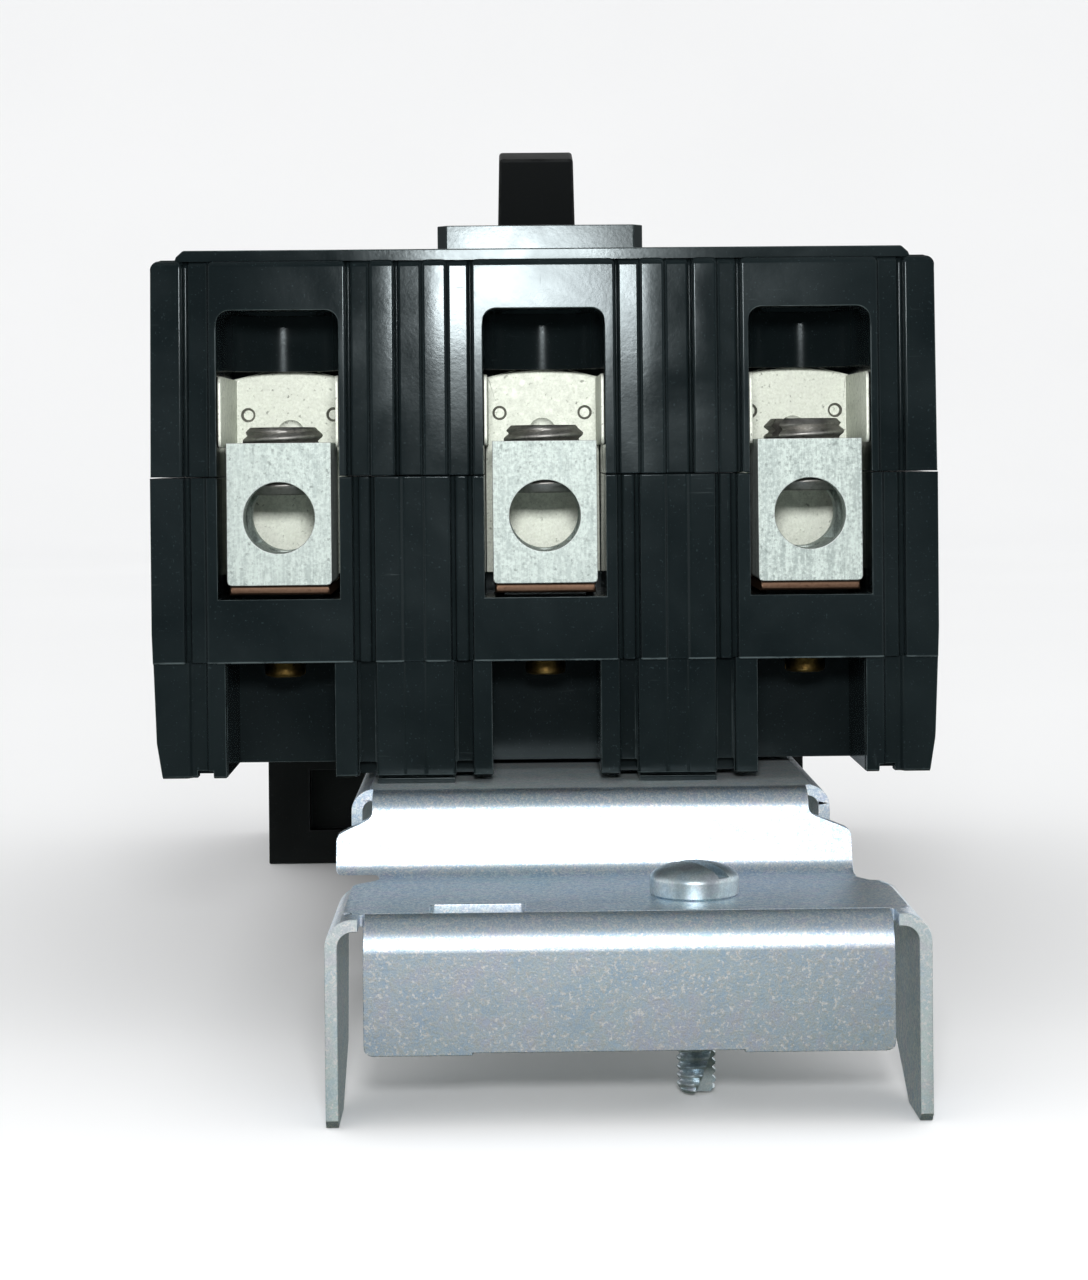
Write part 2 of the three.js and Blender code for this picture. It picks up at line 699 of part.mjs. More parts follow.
function handle() {
  return union(
    taperedBlock([6.3, 5], [6.3, 5], [27.3, 40]),
    taperedBlock([6.3, 5], [5.85, 3.9], [40, HANDLE_REACH]),
  );
}

// The strip that slides under the escutcheon and keeps the handle slot closed.
function handleShutter() {
  const middle = HANDLE_PIVOT[0] - 32 * Math.sin(HANDLE_TILT);
  return less(
    box([-12, 12], [middle - 29.5, middle + 30.5], [65.3, 66.5]),
    box([-6.8, 6.8], [middle - 6.6, middle + 6.8], [64, 68]),
  );
}

function tripBar() {
  const [y, z] = TRIP_BAR_AXIS;
  return union(
    rodX(3, [-49, 49], [y, z], 16),
    ...POLES.map((pole) => box([pole - 3, pole + 3], [y - 6.5, y], [z - 1, z + 2])),
    box([-3, 3], [y, y + 5], [z - 1.5, z + 1.5]),
    box([TRIP_BUTTON[0] - 2.6, TRIP_BUTTON[0] + 2.6], [TRIP_BUTTON[1] - 2, y], [z + 1, z + 3.55]),
  );
}

function tripButton() {
  return turned(
    [[0, 56], [1.4, 56], [1.4, 65], [3.1, 65], [3.1, 71.1], [2.7, 71.5], [0, 71.5]],
    TRIP_BUTTON,
    16,
  );
}

// ---------------------------------------------------------------- mounting bracket

const LEG_X = [-26.9, 44.45];
const CHANNEL_X = [-25.8, 37];
const CHANNEL_BACK = 62;

// The upper front flange seen from the load end: narrow at its top bend, then wider at its wings.
function upperFlangeOutline() {
  return [
    [-21.7, LEDGE_TOP - 3],
    [-21.7, LEDGE_TOP + 0.3],
    [-26, LEDGE_TOP + 0.3],
    [-27.5, LEDGE_TOP + 1.8],
    [-27.5, -6.2],
    [-22.9, -4.1],
    [-22.9, 1],
    [33.8, 1],
    [33.8, -4.1],
    [39.2, -6.2],
    [39.2, LEDGE_TOP - 3],
  ];
}

function mountingBracket() {
  const half = SHEET / 2;
  const top = BRACKET_TOP - half;
  const ledge = LEDGE_TOP - half;
  const flange = FLANGE_FRONT + half;
  const spine = alongX(
    foldedStrip([[CHANNEL_BACK, top], [-6.3, top], [-9.4, ledge], [flange, ledge], [flange, -27.5]], SHEET, 2.2),
    [-30, 50],
  );
  const plan = union(
    box(CHANNEL_X.map((x) => x + Math.sign(-x) * 2.5), [-4, CHANNEL_BACK + 1], [-4, 1]),
    alongY(upperFlangeOutline(), [-13, -4]),
    alongZ(
      [[-21.7, -9], [-21.7, -13], [-25, -16], [-25, -36], [42.5, -36], [42.5, -20], [38, -11.5], [38, -9]],
      [ledge - 2, ledge + 2],
    ),
    box([-22.4, 40.1], [FLANGE_FRONT - 1, -35.9], [-28, -9]),
  );
  const channel = foldedStrip(
    [[CHANNEL_X[0] + half, -10], [CHANNEL_X[0] + half, top], [CHANNEL_X[1] - half, top], [CHANNEL_X[1] - half, -10]],
    SHEET,
    2.2,
  );
  const legs = foldedStrip(
    [[LEG_X[0] + half, FLOOR_Z], [LEG_X[0] + half, ledge], [LEG_X[1] - half, ledge], [LEG_X[1] - half, FLOOR_Z]],
    SHEET,
    2.6,
  );
  const legPlan = [[FLANGE_FRONT, -9], [FLANGE_FRONT, FLOOR_Z], [-30, FLOOR_Z], [-20, -30], [-16, -9]];
  const legBand = alongY(legs, [-45, -10]).intersect(alongX(legPlan, [-30, 50]));
  const frontNotch = union(
    box([LEG_X[0] + 3.9, -22.4], [FLANGE_FRONT - 1, -36.5], [-14, -9]),
    box([40.1, LEG_X[1] - 3.9], [FLANGE_FRONT - 1, -36.5], [-14, -9]),
    box([-22.4, 40.1], [FLANGE_FRONT - 1, -36], [-13.6, -9]),
  );
  return less(
    union(
      spine.intersect(plan),
      alongY(channel, [-4, CHANNEL_BACK]),
      less(legBand, frontNotch),
    ),
    box([-14.7, -3.3], [-36.6, -32], [-15, -9]),
    box([-9.6, 22.3], [FLANGE_FRONT - 1, -37], [-28, -27.2]),
    rodZ(2.8, [-15, -9], MOUNTING_SCREW),
    ...BRACKET_SCREWS.map((at) => rodZ(2.3, [-4, 1], at, 16)),
  );
}

function mountingScrew() {
  const profile = [
    [0, -35.6],
    [1.7, -35.6],
    [2.4, -34.4],
    [2.4, LEDGE_TOP],
    [5.55, LEDGE_TOP],
    [5.55, LEDGE_TOP + 1.9],
    [4.9, LEDGE_TOP + 2.6],
    [3.1, LEDGE_TOP + 3.7],
    [1.2, LEDGE_TOP + 4.1],
    [0, LEDGE_TOP + 4.1],
  ];
  const [x, y] = MOUNTING_SCREW;
  const slot = new THREE.BoxGeometry(14, 1.3, 4);
  slot.rotateZ(THREE.MathUtils.degToRad(-52));
  slot.translate(x, y, LEDGE_TOP + 4.1);
  return less(turned(profile, MOUNTING_SCREW), solid(slot));
}

function bracketScrew(at) {
  const plate = BRACKET_TOP - SHEET;
  return turned([[0, plate - 1.8], [3, plate - 1.8], [3.6, plate - 1.2], [3.6, plate], [1.8, plate], [1.8, 10], [0, 10]], at, 16);
}

function coverScrew(at) {
  const seat = PLATEAU_TOP - 2.5;
  const profile = [[0, 26], [1.6, 26], [1.6, seat], [3.6, seat], [3.6, seat + 1.6], [3, seat + 2.2], [0, seat + 2.2]];
  const slot = box([at[0] - 5, at[0] + 5], [at[1] - 0.5, at[1] + 0.5], [seat + 1, seat + 4]);
  return less(turned(profile, at, 16), slot);
}

// ---------------------------------------------------------------- the assembly

function place(parent, name, shape, material) {
  const mesh = new THREE.Mesh(geometryOf(shape), material);
  mesh.name = name;
  parent.add(mesh);
  return mesh;
}

function turnedGroup(parent, [y, z], angle) {
  const group = new THREE.Group();
  group.position.set(0, y, z);
  group.rotation.x = angle;
  parent.add(group);
  return group;
}

function addCase(body) {
  place(body, 'cover', cover(), FINISHES.phenolic());
  place(body, 'base', base(), FINISHES.phenolic());
  place(body, 'jaw_housing', jawHousing(), FINISHES.phenolic());
  COVER_SCREWS.forEach((at, i) => place(body, `cover_screw_${i + 1}`, coverScrew(at), FINISHES.zinc()));
}

function addPole(body, pole, i) {
  const number = i + 1;
  place(body, `lug_${number}`, lug(pole), FINISHES.aluminium());
  place(body, `lug_screw_${number}`, lugScrew(pole, LUG_SCREW_TOPS[i]), FINISHES.darkSteel());
  place(body, `terminal_screw_${number}`, terminalScrew(pole), FINISHES.brass());
  place(body, `load_strap_${number}`, loadStrap(pole), FINISHES.copper());
  place(body, `barrier_plate_${number}`, barrierPlate(pole), FINISHES.barrier());
  place(body, `bimetal_${number}`, bimetal(pole), FINISHES.darkSteel());
  place(body, `magnet_yoke_${number}`, magnetYoke(pole), FINISHES.darkSteel());
  place(body, `flex_braid_${number}`, flexBraid(pole), FINISHES.copper());
  place(body, `line_strap_${number}`, lineStrap(pole, JAW_Y[i]), FINISHES.copper());
  place(body, `line_jaw_${number}`, lineJaw(pole, JAW_Y[i]), FINISHES.copper());
  place(body, `arc_chute_${number}`, arcChute(pole), FINISHES.fibre());
}

function addMechanism(body) {
  const knee = kneePoint();
  place(body, 'mechanism_frame', mechanismFrame(), FINISHES.zinc());
  place(body, 'cradle', cradle(), FINISHES.darkSteel());
  place(body, 'toggle_link_upper', upperLink(knee), FINISHES.darkSteel());
  place(body, 'toggle_link_lower', lowerLink(knee), FINISHES.darkSteel());
  place(body, 'trip_bar', tripBar(), FINISHES.fibre());
  place(body, 'trip_button', tripButton(), FINISHES.redPlastic());
  place(body, 'handle_shutter', handleShutter(), FINISHES.handlePlastic());

  const contacts = turnedGroup(body, CROSSBAR_AXIS, CONTACTS_OPEN);
  place(contacts, 'crossbar', crossbar(), FINISHES.fibre());
  POLES.forEach((pole, i) => place(contacts, `contact_arm_${i + 1}`, contactArm(pole), FINISHES.copper()));

  const toggle = turnedGroup(body, HANDLE_PIVOT, HANDLE_TILT);
  place(toggle, 'handle', handle(), FINISHES.handlePlastic());
  place(toggle, 'handle_yoke', handleYoke(), FINISHES.zinc());

  const returnSpring = place(body, 'trip_button_spring', coil(2.4, 0.35, 5, 4), FINISHES.darkSteel());
  returnSpring.position.set(TRIP_BUTTON[0], TRIP_BUTTON[1], 59.5);

  const yokeHook = new THREE.Vector3(9.4, -3, 24.6).applyAxisAngle(new THREE.Vector3(1, 0, 0), HANDLE_TILT);
  yokeHook.add(new THREE.Vector3(0, ...HANDLE_PIVOT));
  const kneeHook = new THREE.Vector3(9.4, ...knee.knee);
  const pull = yokeHook.clone().sub(kneeHook);
  const spring = place(body, 'toggle_spring', coil(1, 0.3, pull.length(), 6), FINISHES.darkSteel());
  spring.position.copy(kneeHook);
  spring.quaternion.setFromUnitVectors(new THREE.Vector3(0, 0, 1), pull.normalize());
}

function addMounting(body) {
  place(body, 'mounting_bracket', mountingBracket(), FINISHES.zinc());
  place(body, 'mounting_screw', mountingScrew(), FINISHES.zinc());
  BRACKET_SCREWS.forEach((at, i) => place(body, `bracket_screw_${i + 1}`, bracketScrew(at), FINISHES.zinc()));
}

const breaker = new THREE.Group();
const body = new THREE.Group();
body.position.set(0, -(FLANGE_FRONT + HOUSING_Y[1]) / 2, -FLOOR_Z);
breaker.add(body);
addCase(body);
POLES.forEach((pole, i) => addPole(body, pole, i));
addMechanism(body);
addMounting(body);

export default breaker;
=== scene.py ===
import json
import math

import bmesh
import bpy
from mathutils import Matrix, Vector

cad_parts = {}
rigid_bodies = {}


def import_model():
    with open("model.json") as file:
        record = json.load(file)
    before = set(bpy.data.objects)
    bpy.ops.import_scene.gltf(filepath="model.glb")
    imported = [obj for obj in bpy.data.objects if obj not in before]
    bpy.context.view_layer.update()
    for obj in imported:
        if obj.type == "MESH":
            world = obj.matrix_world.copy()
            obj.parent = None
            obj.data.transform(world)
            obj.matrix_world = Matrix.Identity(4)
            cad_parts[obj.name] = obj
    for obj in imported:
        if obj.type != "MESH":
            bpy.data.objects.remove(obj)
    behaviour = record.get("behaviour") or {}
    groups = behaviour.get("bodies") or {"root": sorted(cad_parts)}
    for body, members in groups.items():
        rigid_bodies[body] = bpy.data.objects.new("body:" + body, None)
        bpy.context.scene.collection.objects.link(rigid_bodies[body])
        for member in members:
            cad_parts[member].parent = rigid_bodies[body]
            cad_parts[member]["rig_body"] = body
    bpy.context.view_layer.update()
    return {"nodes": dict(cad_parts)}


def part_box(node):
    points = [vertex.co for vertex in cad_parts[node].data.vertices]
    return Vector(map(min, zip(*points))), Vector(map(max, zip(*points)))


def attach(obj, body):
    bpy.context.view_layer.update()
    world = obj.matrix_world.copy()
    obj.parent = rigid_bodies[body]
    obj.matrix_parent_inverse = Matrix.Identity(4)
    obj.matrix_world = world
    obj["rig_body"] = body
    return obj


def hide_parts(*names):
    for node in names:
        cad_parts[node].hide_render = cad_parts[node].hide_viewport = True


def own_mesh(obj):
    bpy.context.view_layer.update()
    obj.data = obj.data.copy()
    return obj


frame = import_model()

# Looks of a three-pole plug-on molded case breaker, built around its frame. Sizes are written in
# millimetres in the breaker's own frame: X across the poles, Y from the load end, Z from the back
# of the base. at() and MM turn them into the frame's metres.

MM = 0.001
LEG_HEIGHT = 36
LOAD_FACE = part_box("cover")[0].y
BASE_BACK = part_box("jaw_housing")[0].z + LEG_HEIGHT * MM
ORIGIN = Vector((0, LOAD_FACE, BASE_BACK))

POLES = [round((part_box(f"lug_{i}")[0].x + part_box(f"lug_{i}")[1].x) / 2 / MM, 3) for i in (1, 2, 3)]
PARTITION_X = (POLES[2] - POLES[1]) / 2
HAIR = 0.01                      # kept between two surfaces that would otherwise lie in one plane

# Case
BODY_HALF_WIDTH = 52.4
LINE_END = 151                   # edges past this level belong to the line end
SEAM = 40
RIB_TOP = 68.9
LIP_HALF_WIDTH = 48.9
POCKET_HALF_WIDTH = 8.1
POCKET_TOP = 62.2
POCKET_FLOOR = 23.8
POCKET_PLAY = 0.03               # the pocket is cut this much past the frame's own pocket
WELL_Y = 10.5
WELL_BOTTOM = 53.6
LEDGE_BOTTOM = 15.3
RECESS_HALF_WIDTH = 7.27         # under each pole, between the feet
FOOT_NOTCHES = ((9.85, 12.15), (22.75, 25.05))
CORNER_NOTCH = (44.4, 46.6)
ACROSS = (-60, 60)               # clear of the case on both sides

# Terminals
LUG_HALF_WIDTH = 6.975
LUG_Y = (1, 14.5)
LUG_Z = (25.6, 44.6)
LUG_CORNER = 0.6
LUG_BORE_RADIUS = 4.75
LUG_BORE_Z = 34.6
LUG_SCREW_Y = 7.75
LUG_SCREW_RADIUS = 5.5
LUG_SCREW_TIP = 37.6
SLOT_TURNS = (8, -4, 38)
TERMINAL_SCREW_Y = 9
TERMINAL_HEAD_BOTTOM = 12.85
TERMINAL_SCREW_TOP = 29.4
STRAP_THICKNESS = 1.3
PLATE_Y = (21.2, 22.2)
PLATE_BOTTOM = 26.2
PLATE_SHOULDER = 53.5
DIMPLE_X = 6.0
DIMPLE_Z = 48.6
DIMPLE_RADIUS = 1.02
RIVET_Z = 46.0

# Mounting bracket
SHEET = 1.5
BRACKET_TOP = -0.9
LEDGE_TOP = -11.4
FLANGE_FRONT = -39.8
FLANGE_BOTTOM = -27.48
FLANGE_X = (-22.4, 40.1)
CHANNEL_X = (-25.8, 37)
CHANNEL_BACK = 62
LEG_X = (-26.9, 44.45)
LEG_END_WIDTH = 3.9
LEVER_SLOT = ((-14.7, -3.3), (-36.0, -30.6))
MOUNTING_SCREW = (17.6, -25)
MOUNTING_HEAD_RADIUS = 5.5


def at(x, y, z):
    """A point of the breaker's own frame, in the frame's metres."""
    return ORIGIN + Vector((x, y, z)) * MM


def node_top(node):
    """The highest level of a CAD node in the breaker's own frame."""
    return (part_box(node)[1].z - BASE_BACK) / MM


# ------------------------------------------------------------------ mesh helpers

def scene_object(name, data):
    """A new object in the scene, for a mesh, a camera or a light."""
    obj = bpy.data.objects.new(name, data)
    bpy.context.scene.collection.objects.link(obj)
    return obj


def mesh_object(name, bm):
    """A new object from a bmesh whose vertices are millimetres of the breaker's own frame."""
    bm.transform(Matrix.Translation(ORIGIN) @ Matrix.Scale(MM, 4))
    bmesh.ops.recalc_face_normals(bm, faces=bm.faces)
    mesh = bpy.data.meshes.new(name)
    bm.to_mesh(mesh)
    bm.free()
    return scene_object(name, mesh)


def skin(bm, rings):
    """Joins rings of as many points each into one closed skin, with a face on each end."""
    for lower, upper in zip(rings, rings[1:]):
        for i in range(len(lower)):
            j = (i + 1) % len(lower)
            bm.faces.new((lower[i], lower[j], upper[j], upper[i]))
    bm.faces.new(rings[0])
    bm.faces.new(rings[-1])


def prism(outline, axis, span, name="cutter"):
    """An outline carried along an axis: (y, z) points along X, (x, z) along Y or (x, y) along Z."""
    place = {
        "X": lambda u, v, w: (w, u, v),
        "Y": lambda u, v, w: (u, w, v),
        "Z": lambda u, v, w: (u, v, w),
    }[axis]
    bm = bmesh.new()
    low = [bm.verts.new(place(u, v, span[0])) for u, v in outline]
    high = [bm.verts.new(place(u, v, span[1])) for u, v in outline]
    bm.faces.new(low)
    bm.faces.new(high)
    for i in range(len(outline)):
        j = (i + 1) % len(outline)
        bm.faces.new((low[i], low[j], high[j], high[i]))
    return mesh_object(name, bm)


def block(x, y, z, name="cutter"):
    """A box from three (low, high) pairs."""
    return prism([(x[0], z[0]), (x[1], z[0]), (x[1], z[1]), (x[0], z[1])], "Y", y, name)


def circle(centre, radius, steps=48):
    """Points round a circle."""
    cu, cv = centre
    turns = [2 * math.pi * i / steps for i in range(steps)]
    return [(cu + radius * math.cos(t), cv + radius * math.sin(t)) for t in turns]


def hole(centre, radius, span, steps=32, axis="Z"):
    """A round cutter."""
    return prism(circle(centre, radius, steps), axis, span)


def mirrored(right):
    """A closed outline from its right half: the left half follows, from its far end back."""
    return right + [(-x, z) for x, z in reversed(right)]


def arc(centre, radius, start, end, steps=8):
    """Points of an arc between two angles in degrees."""
    cu, cv = centre
    turns = [math.radians(start + (end - start) * i / steps) for i in range(steps + 1)]
    return [(cu + radius * math.cos(t), cv + radius * math.sin(t)) for t in turns]


def lathe(name, profile, centre):
    """A turned piece about a Z axis through centre: (radius, z) points that start and end on it."""
    steps = 64
    bm = bmesh.new()
    rings = []
    for radius, z in profile:
        if radius < 1e-6:
            rings.append([bm.verts.new((centre[0], centre[1], z))])
        else:
            rings.append([bm.verts.new((x, y, z)) for x, y in circle(centre, radius, steps)])
    for lower, upper in zip(rings, rings[1:]):
        for i in range(steps):
            j = (i + 1) % steps
            corners = [
                lower[i % len(lower)], lower[j % len(lower)],
                upper[j % len(upper)], upper[i % len(upper)],
            ]
            bm.faces.new(list(dict.fromkeys(corners)))
    return mesh_object(name, bm)


def folded_strip(corners, thickness, radii, steps=10):
    """The outline of a bent sheet: its middle line follows the corners, with a round bend at each.

    radii is one radius for all the bends, or a list of one for each.
    """
    radii = radii if isinstance(radii, list) else [radii] * (len(corners) - 2)
    line = [Vector(corner) for corner in corners]
    stations = [(line[0], (line[1] - line[0]).normalized())]
    for before, corner, after, bend_radius in zip(line, line[1:], line[2:], radii):
        a, b = (corner - before).normalized(), (after - corner).normalized()
        turn = math.atan2(a.x * b.y - a.y * b.x, a.dot(b))
        side = math.copysign(1, turn)
        start = corner - a * bend_radius * math.tan(abs(turn) / 2)
        centre = start + Vector((-a.y, a.x)) * side * bend_radius
        for k in range(steps + 1):
            c, s = math.cos(turn * k / steps), math.sin(turn * k / steps)
            heading = Vector((a.x * c - a.y * s, a.x * s + a.y * c))
            stations.append((centre - Vector((-heading.y, heading.x)) * side * bend_radius, heading))
    stations.append((line[-1], (line[-1] - line[-2]).normalized()))
    sides = []
    for shift in (-thickness / 2, thickness / 2):
        sides.append([tuple(place + Vector((-way.y, way.x)) * shift) for place, way in stations])
    return sides[0] + sides[1][::-1]


def corner_curve(before, corner, after, reach, steps):
    """Points of a curve that takes the place of a corner, from reach before it to reach past it."""
    a, c, b = Vector(before), Vector(corner), Vector(after)
    start = c + (a - c).normalized() * min(reach, (a - c).length * 0.45)
    end = c + (b - c).normalized() * min(reach, (b - c).length * 0.45)
    shares = [k / steps for k in range(steps + 1)]
    return [tuple(start * (1 - t) ** 2 + c * 2 * t * (1 - t) + end * t * t) for t in shares]


def rounded(outline, reach, steps=6):
    """A closed outline with each of its corners drawn as a curve."""
    path = []
    for i, corner in enumerate(outline):
        path += corner_curve(outline[i - 1], corner, outline[(i + 1) % len(outline)], reach, steps)
    return path


def softened(points, reach=0.3, steps=3):
    """An open path with each of its inner corners drawn as a small curve."""
    path = [points[0]]
    for before, corner, after in zip(points, points[1:], points[2:]):
        path += corner_curve(before, corner, after, reach, steps)
    return path + [points[-1]]


def threaded(name, centre, span, radius, depth, pitch, ends, head=()):
    """A bar about a Z axis with a screw thread, cut to a cone at each end, and a head above it.

    ends gives the radius of the bar's lower and upper face, where the cones begin at 45 degrees.
    head holds the (radius, z) points of the head, if there is one.
    """
    steps = 72
    rows = round((span[1] - span[0]) / pitch * 8)
    bm = bmesh.new()
    rings = []
    for k in range(rows + 1):
        z = span[0] + (span[1] - span[0]) * k / rows
        cone = min(ends[0] + (z - span[0]), ends[1] + (span[1] - z))
        ring = []
        for i in range(steps):
            turn = 2 * math.pi * i / steps
            phase = (z / pitch - i / steps) % 1
            height = min(1.0, 1.3 * (1 - abs(2 * phase - 1)))
            r = min(radius - depth + depth * height, cone)
            x, y = centre[0] + r * math.cos(turn), centre[1] + r * math.sin(turn)
            ring.append(bm.verts.new((x, y, z)))
        rings.append(ring)
    for r, z in head:
        rings.append([bm.verts.new((x, y, z)) for x, y in circle(centre, r, steps)])
    skin(bm, rings)
    return mesh_object(name, bm)


def turned_block(size, centre, degrees, axis="Z"):
    """A block of the given size about its centre, turned about an axis through that centre."""
    half = [length / 2 for length in size]
    obj = block((-half[0], half[0]), (-half[1], half[1]), (-half[2], half[2]))
    to_frame = Matrix.Translation(ORIGIN) @ Matrix.Scale(MM, 4)
    turn = Matrix.Translation(centre) @ Matrix.Rotation(math.radians(degrees), 4, axis)
    obj.data.transform(to_frame @ turn @ to_frame.inverted())
    return obj


def combine(obj, others, operation="DIFFERENCE"):
    """Cuts the others out of obj, or joins them to it, and removes them."""
    for other in others:
        step = obj.modifiers.new("combine", "BOOLEAN")
        step.operation = operation
        step.solver = "EXACT"
        step.object = other
        apply_modifiers(obj)
        bpy.data.objects.remove(other)
    return obj


def apply_modifiers(obj):
    """Bakes an object's modifiers into its mesh."""
    bpy.context.view_layer.update()
    graph = bpy.context.evaluated_depsgraph_get()
    mesh = bpy.data.meshes.new_from_object(obj.evaluated_get(graph))
    obj.modifiers.clear()
    old = obj.data
    obj.data = mesh
    mesh.name = obj.name
    bpy.data.meshes.remove(old)


def clean(obj, angle=0.6, merge=0.002):
    """Joins the coplanar triangles of a solid into whole faces, and points closer than merge."""
    bm = bmesh.new()
    bm.from_mesh(obj.data)
    bmesh.ops.remove_doubles(bm, verts=bm.verts, dist=merge * MM)
    bmesh.ops.dissolve_limit(bm, angle_limit=math.radians(angle), verts=bm.verts, edges=bm.edges)
    bmesh.ops.recalc_face_normals(bm, faces=bm.faces)
    bm.to_mesh(obj.data)
    bm.free()


EDGE_MARK = 7                    # material index that the bevel gives its own faces for a moment


def round_edges(obj, width, segments=2, angle=32, where=None):
    """Rounds the sharp edges, and marks the middles of the rounds in the attribute 'worn'.

    where(point) gives the share of the width that an edge there takes, from 0 to 1.
    """
    bm = bmesh.new()
    bm.from_mesh(obj.data)
    many_sided = [face for face in bm.faces if len(face.verts) > 4]
    bmesh.ops.triangulate(bm, faces=many_sided, ngon_method="BEAUTY")
    layer = bm.edges.layers.float.new("bevel_weight_edge")
    steep = math.radians(angle)
    for edge in bm.edges:
        if len(edge.link_faces) == 2 and edge.calc_face_angle(0) > steep:
            middle = ((edge.verts[0].co + edge.verts[1].co) / 2 - ORIGIN) / MM
            edge[layer] = where(middle) if where else 1.0
    bm.to_mesh(obj.data)
    bm.free()
    bevel = obj.modifiers.new("round", "BEVEL")
    bevel.width = width * MM
    bevel.segments = segments
    bevel.limit_method = "WEIGHT"
    bevel.use_clamp_overlap = False
    bevel.miter_outer = "MITER_SHARP"
    while len(obj.data.materials) <= EDGE_MARK:
        obj.data.materials.append(None)
    bevel.material = EDGE_MARK
    apply_modifiers(obj)
    mesh = obj.data
    inner = [True] * len(mesh.vertices)
    for face in mesh.polygons:
        if face.material_index != EDGE_MARK:
            for v in face.vertices:
                inner[v] = False
    worn = mesh.attributes.new("worn", "FLOAT", "POINT")
    worn.data.foreach_set("value", [1.0 if x else 0.0 for x in inner])
    for face in mesh.polygons:
        face.material_index = 0
    mesh.materials.clear()


FLAT_WITHIN = math.radians(0.4)


def flat_areas(bm):
    """For each face, the area of all the joined faces that lie flat with it."""
    areas = {}
    for start in bm.faces:
        if start in areas:
            continue
        together = [start]
        found = {start}
        for face in together:
            for edge in face.edges:
                for other in edge.link_faces:
                    if other not in found and start.normal.angle(other.normal, 0) < FLAT_WITHIN:
                        found.add(other)
                        together.append(other)
        total = sum(face.calc_area() for face in together)
        for face in together:
            areas[face] = total
    return areas


def smooth_groups(vert, steep):
    """The faces round a point, each with those it blends into."""
    groups = {face: {face} for face in vert.link_faces}
    for edge in vert.link_edges:
        if len(edge.link_faces) == 2 and edge.calc_face_angle(0) < steep:
            a, b = edge.link_faces
            joined = groups[a] | groups[b]
            for face in joined:
                groups[face] = joined
    return groups


def shade(obj, angle):
    """Smooth normals led by the large flat faces, and sharp where two faces meet steeply."""
    bm = bmesh.new()
    bm.from_mesh(obj.data)
    bm.normal_update()
    areas = flat_areas(bm)
    for i, loop in enumerate(loop for face in bm.faces for loop in face.loops):
        loop.index = i
    normals = [(0, 0, 0)] * sum(len(face.loops) for face in bm.faces)
    for vert in bm.verts:
        groups = smooth_groups(vert, math.radians(angle))
        shares = {loop.face: areas[loop.face] * loop.calc_angle() for loop in vert.link_loops}
        for loop in vert.link_loops:
            normal = sum((face.normal * shares[face] for face in groups[loop.face]), Vector())
            normals[loop.index] = tuple(normal.normalized())
    mesh = obj.data
    bm.to_mesh(mesh)
    bm.free()
    mesh.shade_smooth()
    mesh.normals_split_custom_set(normals)


def keep_narrow(obj, half_width):
    """Presses anything that stands out past the sides back to them."""
    for vert in obj.data.vertices:
        vert.co.x = max(-half_width * MM, min(half_width * MM, vert.co.x))


def copy_of(node, name):
    """The CAD node's shape as a new object, ready to be worked on."""
    obj = scene_object(name, frame["nodes"][node].data.copy())
    obj.data.materials.clear()
    for layer in list(obj.data.uv_layers):
        obj.data.uv_layers.remove(layer)
    clean(obj)
    return obj


def finish_piece(obj, node, slot, angle=38):
    """Shades a piece, sharp past an angle, gives it its material, and lets it stand for its node and
    move with that node's body."""
    shade(obj, angle)
    obj.data.materials.clear()
    obj.data.materials.append(MATERIALS[slot])
    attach(obj, frame["nodes"][node]["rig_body"])
    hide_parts(node)


def refined(node, slot, width, segments=2):
    """The node's own shape with its sharp edges rounded."""
    obj = copy_of(node, f"{node}_shell")
    round_edges(obj, width, segments)
    finish_piece(obj, node, slot)


# ------------------------------------------------------------------ camera, light and floor

# The camera looks at the load end from 338 mm away, a little above the middle of the case. It is
# level, and the shift frames what hangs under the case.
CAMERA_PLACE = (-4.85, -338, 43.6)
CAMERA_LENS = 71.6
SENSOR_WIDTH = 36
CAMERA_SHIFT = -0.15
CAMERA_TURN = -0.81
CAMERA_ROLL = -0.52

# One small flash above the lens lights the load end.
FLASH_PLACE = (-1.5, -338, 103)
FLASH_TARGET = (0, 0, 45)
FLASH_SIZE = (46, 30)
FLASH_WATTS = 0.62


def add_camera():
    data = bpy.data.cameras.new("camera")
    data.lens = CAMERA_LENS
    data.sensor_width = SENSOR_WIDTH
    data.shift_y = CAMERA_SHIFT
    data.clip_start = 0.01
    camera = scene_object("camera", data)
    turn = Matrix.Rotation(math.radians(CAMERA_TURN), 4, "Z")
    lean = Matrix.Rotation(math.radians(90), 4, "X")
    roll = Matrix.Rotation(math.radians(CAMERA_ROLL), 4, "Z")
    camera.matrix_world = Matrix.Translation(at(*CAMERA_PLACE)) @ turn @ lean @ roll
    bpy.context.scene.camera = camera


def add_flash():
    data = bpy.data.lights.new("flash", "AREA")
    data.shape = "RECTANGLE"
    data.size = FLASH_SIZE[0] * MM
    data.size_y = FLASH_SIZE[1] * MM
    data.energy = FLASH_WATTS
    flash = scene_object("flash", data)
    flash.location = at(*FLASH_PLACE)
    way = at(*FLASH_TARGET) - at(*FLASH_PLACE)
    flash.rotation_euler = way.to_track_quat("-Z", "Y").to_euler()


